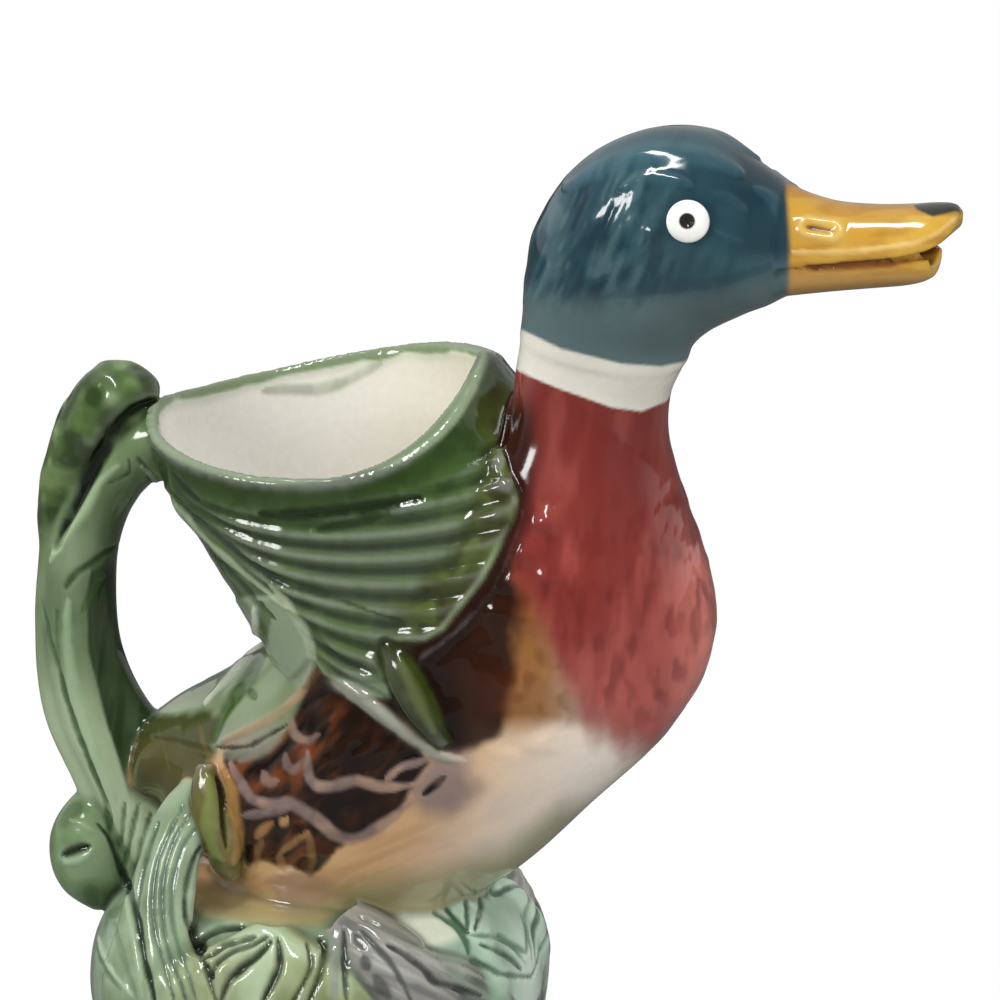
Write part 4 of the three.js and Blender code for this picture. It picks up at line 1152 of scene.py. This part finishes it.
def paint_leaf():
    colour = flat((82, 97, 68))
    colour = tint(colour, (90, 106, 76), 0.85 * smooth(0.1, 0.9, rib_wave) * rib_fade)
    colour = tint(colour, (60, 70, 59), 0.8 * smooth(0.1, 0.95, -rib_wave) * rib_fade)
    stain = smooth(0.52, 0.68, brushed(40, 12, 8, 191))
    colour = tint(colour, (84, 104, 58), 0.6 * stain)
    rim_green = smooth(21, 11, below_rim + 6 * (broad - 0.5))
    colour = tint(colour, (56, 80, 36), 0.92 * rim_green)
    colour = tint(colour, (34, 50, 20), 0.6 * rim_green * smooth(0.45, 0.65, fine))
    colour = tint(colour, (38, 54, 22), 0.7 * smooth(9, 4, below_rim + 4 * (fine - 0.5)))
    colour = tint(colour, (110, 132, 88), 0.7 * smooth(0.7, 0.0, below_rim))
    side = smooth(50, 26, leaf_edge + 26 * (broad - 0.5)) * smooth(380, 430, across)
    side = np.maximum(side, smooth(470, 500, across + 20 * (broad - 0.5)) * smooth(560, 520, down))
    side = side * smooth(385, 430, down)
    colour = tint(colour, (58, 62, 24), 0.85 * side)
    colour = tint(colour, (88, 104, 52), 0.6 * side * smooth(0.5, 0.68, fine))
    colour = tint(colour, (44, 32, 12), 0.5 * side * smooth(0.5, 0.34, fine))
    edge_line = np.exp(-(((leaf_edge - 2) / 2.5) ** 2)) * smooth(520, 560, down)
    colour = tint(colour, (150, 166, 132), 0.5 * edge_line)
    colour = tint(colour, (136, 151, 124), smooth(-2, 2, back_edge) * smooth(230, 262, across))
    beyond = smooth(0, -3, leaf_edge)
    return over(colour, DUCK, beyond)


def paint_cup_wall():
    colour = flat((245, 242, 235))
    # Painted shade: the inside of the cup is darker towards its front
    colour = tint(colour, (222, 217, 200), smooth(-95, -20, x))
    rise = below_rim + 2.5 * (cloud(points, 9, 201) - 0.5)
    colour = tint(colour, (180, 194, 162), 0.5 * smooth(4.5, 1.0, rise))
    return tint(colour, (92, 116, 70), 0.85 * smooth(1.4, 0.2, rise))


def paint_lobe():
    colour = flat((132, 148, 116))
    colour = tint(colour, (108, 122, 84), 0.7 * smooth(0.45, 0.65, broad))
    return tint(colour, (136, 128, 122), 0.6 * smooth(712, 742, down))


def paint_plain(base, light, dark, seed, size=9.0):
    grain = cloud(points, size, seed)
    colour = flat(base)
    colour = tint(colour, light, 0.8 * smooth(0.5, 0.7, grain))
    return tint(colour, dark, 0.8 * smooth(0.5, 0.3, grain))


def paint_stalk():
    colour = paint_plain((112, 130, 96), (132, 150, 116), (88, 108, 72), 261, 14.0)
    low = smooth(650, 740, down)
    colour = tint(colour, (172, 190, 154), 0.85 * low)
    inner = smooth(-2, 2, right_of(INNER_EDGE)) * smooth(548, 580, down) * smooth(810, 770, down)
    colour = tint(colour, (44, 64, 32), 0.92 * inner)
    colour = tint(colour, (30, 46, 20), 0.6 * inner * smooth(0.42, 0.62, brushed(7, 70, 8, 265)))
    top = smooth(520, 470, down) * smooth(60, 110, across)
    return tint(colour, (96, 122, 76), 0.5 * top)


def paint_mound():
    colour = paint_plain((120, 140, 112), (142, 162, 134), (96, 114, 86), 211)
    front = smooth(360, 390, across)
    colour = tint(colour, (150, 178, 154), 0.85 * front)
    colour = tint(colour, (222, 234, 222), painted_light_right)
    pale = np.exp(-(((across - 424) / 44) ** 2 + ((down - 926) / 22) ** 2))
    colour = tint(colour, (224, 228, 208), 0.95 * smooth(0.2, 0.6, pale))
    under = smooth(5, -7, below(BELLY_FOOT)) * smooth(352, 332, across) * smooth(180, 200, across)
    colour = over(colour, DUCK, under)
    logs = smooth(-2, 3, below(LOG_TOP))
    logs = logs * smooth(338, 350, across)
    grey = np.where(log_grain > 0.5, 1.0, 0.6)
    colour = tint(colour, (116, 116, 108), 0.9 * logs * grey)
    colour = tint(colour, (74, 80, 78), 0.7 * logs * smooth(0.52, 0.68, log_grain))
    return tint(colour, (150, 153, 150), 0.85 * rock)


def paint_front():
    colour = paint_plain((166, 192, 168), (192, 214, 194), (132, 160, 136), 331)
    colour = tint(colour, (222, 234, 222), painted_light_right)
    return tint(colour, (152, 155, 152), 0.85 * rock)


def paint_log():
    colour = flat((138, 136, 128))
    colour = tint(colour, (92, 94, 90), 0.8 * smooth(0.5, 0.66, log_grain))
    return tint(colour, (172, 174, 166), 0.7 * smooth(0.44, 0.3, log_grain))


STALK = paint_stalk()
DUCK = paint_duck()
PAINTS = {
    "body_shell": DUCK,
    "upper_bill": paint_bill(),
    "leaf_cup": paint_leaf(),
    "leaf_lobe": paint_lobe(),
    "leaf_stem": paint_plain((146, 148, 134), (162, 166, 152), (128, 128, 114), 231),
    "leaf_pod": paint_plain((40, 48, 14), (52, 62, 18), (26, 32, 8), 241),
    "leaf_curl": paint_plain((86, 84, 36), (116, 106, 56), (60, 48, 18), 251, 7.0),
    "handle_outer_stalk": STALK,
    "handle_middle_stalk": STALK,
    "handle_inner_stalk": STALK,
    "handle_bud": paint_plain((70, 92, 48), (104, 126, 78), (34, 50, 18), 291, 7.0),
    "rear_bud": paint_plain((108, 132, 92), (132, 154, 116), (72, 96, 60), 301),
    "base_mound": paint_mound(),
    "plume_leaf": paint_plain((122, 140, 108), (142, 160, 130), (104, 120, 92), 311),
    "fan_leaf": paint_plain((142, 156, 116), (162, 180, 146), (118, 130, 86), 321),
    "log": paint_log(),
    "front_leaf": paint_front(),
}
for duck_piece in ("head_shell", "wing", "tail"):
    PAINTS[duck_piece] = DUCK
PAINTS["lower_bill"] = PAINTS["upper_bill"]

POOLED = {
    "leaf_cup": (40, 50, 34),
    "leaf_lobe": (50, 62, 34),
    "leaf_pod": (18, 26, 8),
    "leaf_curl": (34, 24, 8),
    "handle_outer_stalk": (44, 66, 36),
    "handle_middle_stalk": (44, 66, 36),
    "handle_inner_stalk": (30, 48, 22),
    "handle_bud": (20, 34, 14),
    "rear_bud": (24, 40, 24),
    "base_mound": (44, 56, 42),
    "plume_leaf": (66, 82, 70),
    "fan_leaf": (30, 40, 26),
    "log": (48, 50, 48),
    "front_leaf": (54, 80, 62),
}


def family(name):
    return name.removesuffix("_right").removesuffix("_left")


# Each piece's glaze pools in its hollows and thins on its ridges, and runs a little over its joints
GLAZE_RUN = 0.45
weights = np.exp(-(table - table.min(1, keepdims=True)) / GLAZE_RUN)
weights /= weights.sum(1, keepdims=True)
colours = np.zeros((count, 3))
for k, name in enumerate(names):
    kind = family(name)
    painted = PAINTS[kind]
    if kind in POOLED:
        painted = tint(painted, POOLED[kind], 0.75 * pool)
        painted = painted + 0.1 * thin[:, None] * (1 - painted)
    else:
        painted = painted * (1 - 0.3 * np.clip(pool, 0, 1))[:, None]
    colours += weights[:, k : k + 1] * painted
colours = tint(colours, (56, 60, 20), 0.95 * GROUPS["back"] * olive)
olive_streak = smooth(0.5, 0.68, brushed(6, 60, -14, 145))
colours = tint(colours, (108, 92, 42), 0.6 * GROUPS["back"] * olive * olive_streak)
colours = over(colours, paint_cup_wall(), cup_wall)
worn = 0.72 + 0.28 * smooth(0.35, 0.55, cloud(points, 5, 345))
vein_warmth = 0.6 * smooth(0.46, 0.62, cloud(points, 8, 351))
for mask, far, _, colour, strength in drawn:
    share = mask * strength * worn * smooth(1.5, 0.5, far)
    colours = tint(colours, colour, share)
    if colour == MAUVE:
        colours = tint(colours, WARM_VEIN, vein_warmth * share)
colours = np.clip(colours, 0, 1)


# Materials: one glaze per slot, coloured by the painted skin
GLAZE = {"Roughness": 0.13, "IOR": 1.52, "Coat Weight": 0.25, "Coat Roughness": 0.03}
SPECKLE_SCALE = 420
RIPPLE_SCALE = 130


def add_node(tree, kind, **values):
    """A shader node with some sockets set; the words of a socket's name are joined by underscores."""
    node = tree.nodes.new(f"ShaderNode{kind}")
    for socket, value in values.items():
        node.inputs[socket.replace("_", " ")].default_value = value
    return node


def glaze(slot):
    material = bpy.data.materials.new(f"{slot}_skin")
    material.use_nodes = True
    tree = material.node_tree
    join = tree.links.new
    shader = tree.nodes["Principled BSDF"]
    for socket, value in GLAZE.items():
        shader.inputs[socket].default_value = value
    paint = add_node(tree, "Attribute")
    paint.attribute_name = "glaze"
    place = add_node(tree, "TexCoord")
    speckle = add_node(tree, "TexNoise", Scale=SPECKLE_SCALE, Detail=3)
    join(place.outputs["Object"], speckle.inputs["Vector"])
    depth = add_node(tree, "MapRange", From_Min=0.3, From_Max=0.7, To_Min=0.97, To_Max=1.02)
    join(speckle.outputs["Fac"], depth.inputs["Value"])
    shaded = add_node(tree, "VectorMath")
    shaded.operation = "SCALE"
    join(paint.outputs["Color"], shaded.inputs[0])
    join(depth.outputs["Result"], shaded.inputs["Scale"])
    join(shaded.outputs["Vector"], shader.inputs["Base Color"])
    swim = add_node(tree, "TexNoise", Scale=RIPPLE_SCALE, Detail=2)
    join(place.outputs["Object"], swim.inputs["Vector"])
    ripple = add_node(tree, "Bump", Strength=0.06, Distance=0.001)
    join(swim.outputs["Fac"], ripple.inputs["Height"])
    join(ripple.outputs["Normal"], shader.inputs["Normal"])
    return material


SLOTS = {entry["node"]: entry["material_slot"] for entry in frame["record"]["subparts"]}
MATERIALS = {slot: glaze(slot) for slot in sorted(set(SLOTS.values()))}


# Pieces: the skin is divided where the pieces were luted together
def build(name, places, faces, turns, paint):
    mesh = bpy.data.meshes.new(f"{name}_skin")
    mesh.vertices.add(len(places))
    mesh.vertices.foreach_set("co", (places / METRE).astype(np.float32).ravel())
    sides = faces.shape[1]
    mesh.loops.add(faces.size)
    mesh.loops.foreach_set("vertex_index", faces.astype(np.int32).ravel())
    mesh.polygons.add(len(faces))
    mesh.polygons.foreach_set("loop_start", np.arange(0, faces.size, sides, dtype=np.int32))
    mesh.update(calc_edges=True)
    mesh.validate()
    colour = mesh.color_attributes.new("glaze", "FLOAT_COLOR", "POINT")
    rgba = np.column_stack([paint, np.ones(len(paint))]).astype(np.float32)
    colour.data.foreach_set("color", rgba.ravel())
    mesh.shade_smooth()
    if turns is not None:
        mesh.normals_split_custom_set_from_vertices(turns.astype(np.float32))
    piece = bpy.data.objects.new(f"{name}_skin", mesh)
    bpy.context.scene.collection.objects.link(piece)
    slot = SLOTS[name]
    mesh.materials.append(MATERIALS[slot])
    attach(piece, "root")
    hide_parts(name)


owner = np.array(names)[table.argmin(1)]
above_neck = plane_side(NECK_JOINT)
above_collar = plane_side(COLLAR)
trunk_owned = (owner == "body_shell") | (owner == "head_shell")
owner = np.where(trunk_owned & (above_neck > 0), "neck_shell", owner)
owner = np.where(trunk_owned & (above_neck > 0) & (above_collar > 0), "head_shell", owner)
owner = np.where((owner == "head_shell") & (above_collar <= 0), "neck_shell", owner)
face_owner = owner[quads[:, 0]]
for name in sorted(set(face_owner)):
    faces = quads[face_owner == name]
    used, renumbered = np.unique(faces, return_inverse=True)
    build(name, points[used], renumbered.reshape(faces.shape), normals[used], colours[used])


# Eyes: domed pellets with a pricked pupil
EYE_WHITE = (236, 236, 230)
PUPIL_BLACK = (40, 36, 36)
PUPIL_SHARE = PUPIL_RADIUS / EYE_RADIUS


def eye(name, angle):
    place = duck_point(HEAD, 1.0, np.array(EYE_STATION), np.array(angle))
    step = 0.02
    ahead = duck_point(HEAD, 1.0, np.array(EYE_STATION + step), np.array(angle)) - place
    above = duck_point(HEAD, 1.0, np.array(EYE_STATION), np.array(angle + step)) - place
    outward = unit(np.cross(ahead, above))
    outward = outward * np.sign(outward[1] * place[1])
    first = unit(ahead)
    second = np.cross(outward, first)
    radii = np.concatenate([np.linspace(0.02, 1, 26), [1.0, 1.0]])
    rise = EYE_RISE * np.sqrt(np.maximum(1 - 0.93 * radii**2, 0))
    rise = rise - PUPIL_DEPTH * smooth(PUPIL_SHARE * 0.8, PUPIL_SHARE * 0.4, radii)
    rise[-2] = EYE_EDGE
    rise[-1] = EYE_ROOT
    sides = 64
    round_angle = turn(sides)
    spokes = np.cos(round_angle)[:, None] * first + np.sin(round_angle)[:, None] * second
    rings = place + EYE_RADIUS * radii[:, None, None] * spokes[None] + rise[:, None, None] * outward
    row = np.arange(len(radii) - 1)[:, None] * sides
    near = np.arange(sides)[None, :]
    far = (near + 1) % sides
    faces = np.stack([row + near, row + sides + near, row + sides + far, row + far], -1).reshape(-1, 4)
    share = np.repeat(radii, sides)
    paint = np.tile(srgb(EYE_WHITE), (len(share), 1))
    paint = tint(paint, PUPIL_BLACK, smooth(PUPIL_SHARE * 1.12, PUPIL_SHARE * 0.9, share))
    build(name, rings.reshape(-1, 3), faces, None, paint)


eye("eye_right", math.pi - EYE_ANGLE)
eye("eye_left", EYE_ANGLE)


# Stage: a pale floor, soft boxes and the camera
def aim(thing, target):
    thing.rotation_euler = (Vector(target) - thing.location).to_track_quat("-Z", "Y").to_euler()


def soft_box(name, place, target, width, height, power, mirrored_in_glaze):
    lamp = bpy.data.lights.new(name, "AREA")
    lamp.shape = "RECTANGLE"
    lamp.size = width
    lamp.size_y = height
    lamp.energy = power
    box = bpy.data.objects.new(name, lamp)
    bpy.context.scene.collection.objects.link(box)
    box.location = place
    box.visible_glossy = mirrored_in_glaze
    aim(box, target)


FLOOR_REACH = 3.0
FLOOR_GREY = (0.14, 0.14, 0.14, 1)
FLOOR_WHITE = 1.07
FLOOR_SHARE = 0.93


def pale_floor():
    """A floor that is white to the eye and keeps a trace of the shadow, and grey to the glaze."""
    mesh = bpy.data.meshes.new("floor")
    corners = [(a * FLOOR_REACH, b * FLOOR_REACH, 0) for a, b in ((-1, -1), (1, -1), (1, 1), (-1, 1))]
    mesh.from_pydata(corners, [], [(0, 1, 2, 3)])
    floor = bpy.data.objects.new("floor", mesh)
    bpy.context.scene.collection.objects.link(floor)
    material = bpy.data.materials.new("floor")
    material.use_nodes = True
    tree = material.node_tree
    tree.nodes.clear()
    join = tree.links.new
    matte = add_node(tree, "BsdfDiffuse", Color=FLOOR_GREY)
    white = add_node(tree, "Emission", Strength=FLOOR_WHITE)
    rays = add_node(tree, "LightPath")
    share = add_node(tree, "Math")
    share.operation = "MULTIPLY"
    share.inputs[1].default_value = FLOOR_SHARE
    join(rays.outputs["Is Camera Ray"], share.inputs[0])
    blend = add_node(tree, "MixShader")
    join(share.outputs["Value"], blend.inputs["Fac"])
    join(matte.outputs["BSDF"], blend.inputs[1])
    join(white.outputs["Emission"], blend.inputs[2])
    end = add_node(tree, "OutputMaterial")
    join(blend.outputs["Shader"], end.inputs["Surface"])
    mesh.materials.append(material)


STUDIO_FRONT = (0.3, -0.92, 0.25)


def pale_world():
    """A studio that is white to the eye, and to the glaze is pale behind and dark in front."""
    world = bpy.data.worlds.new("studio")
    bpy.context.scene.world = world
    world.use_nodes = True
    tree = world.node_tree
    tree.nodes.clear()
    join = tree.links.new
    rays = add_node(tree, "LightPath")
    place = add_node(tree, "TexCoord")
    facing = add_node(tree, "VectorMath")
    facing.operation = "DOT_PRODUCT"
    facing.inputs[1].default_value = STUDIO_FRONT
    join(place.outputs["Generated"], facing.inputs[0])
    fade = add_node(tree, "MapRange", From_Min=-0.3, From_Max=0.4, To_Min=0.42, To_Max=0.07)
    fade.interpolation_type = "SMOOTHSTEP"
    join(facing.outputs["Value"], fade.inputs["Value"])
    soft = add_node(tree, "Background", Color=(1, 1, 1, 1))
    join(fade.outputs["Result"], soft.inputs["Strength"])
    white = add_node(tree, "Background", Color=(1, 1, 1, 1), Strength=1.0)
    blend = add_node(tree, "MixShader")
    join(rays.outputs["Is Camera Ray"], blend.inputs["Fac"])
    join(soft.outputs["Background"], blend.inputs[1])
    join(white.outputs["Background"], blend.inputs[2])
    end = add_node(tree, "OutputWorld")
    join(blend.outputs["Shader"], end.inputs["Surface"])


# Soft boxes: place and target in metres, width, height, power, and whether the glaze mirrors them
BODY_MIDDLE = (0, 0, 0.15)
BODY_LOW = (0, 0, 0.12)
SOFT_BOXES = {
    "fill": ((-0.7, -1.7, 0.9), BODY_MIDDLE, 1.6, 1.6, 26, False),
    "bounce": ((1.45, -0.45, 0.35), BODY_LOW, 1.1, 1.1, 23, False),
    "left": ((-1.4, -0.35, 0.5), BODY_LOW, 1.1, 1.1, 5, False),
    "top": ((-0.2, -0.15, 1.2), BODY_MIDDLE, 0.8, 0.12, 7, True),
    "window": ((-0.9, -0.92, 0.9), BODY_MIDDLE, 0.28, 0.34, 4.5, True),
}
pale_floor()
pale_world()
for name, values in SOFT_BOXES.items():
    soft_box(name, *values)

VIEW_CENTRE = (0.0, 0.0, 0.1785)
VIEW_FAR = 9.0
FRAME_WIDTH = 0.3
FILM_WIDTH = 36
camera_data = bpy.data.cameras.new("camera")
camera = bpy.data.objects.new("camera", camera_data)
bpy.context.scene.collection.objects.link(camera)
toward = Vector((
    math.sin(SHEET_TURN) * math.cos(SHEET_TIP),
    -math.cos(SHEET_TURN) * math.cos(SHEET_TIP),
    math.sin(SHEET_TIP),
))
camera.location = Vector(VIEW_CENTRE) + VIEW_FAR * toward
aim(camera, VIEW_CENTRE)
camera_data.sensor_width = FILM_WIDTH
camera_data.lens = FILM_WIDTH * VIEW_FAR / FRAME_WIDTH
camera_data.clip_end = 50
bpy.context.scene.camera = camera
bpy.context.scene.view_settings.view_transform = "Standard"
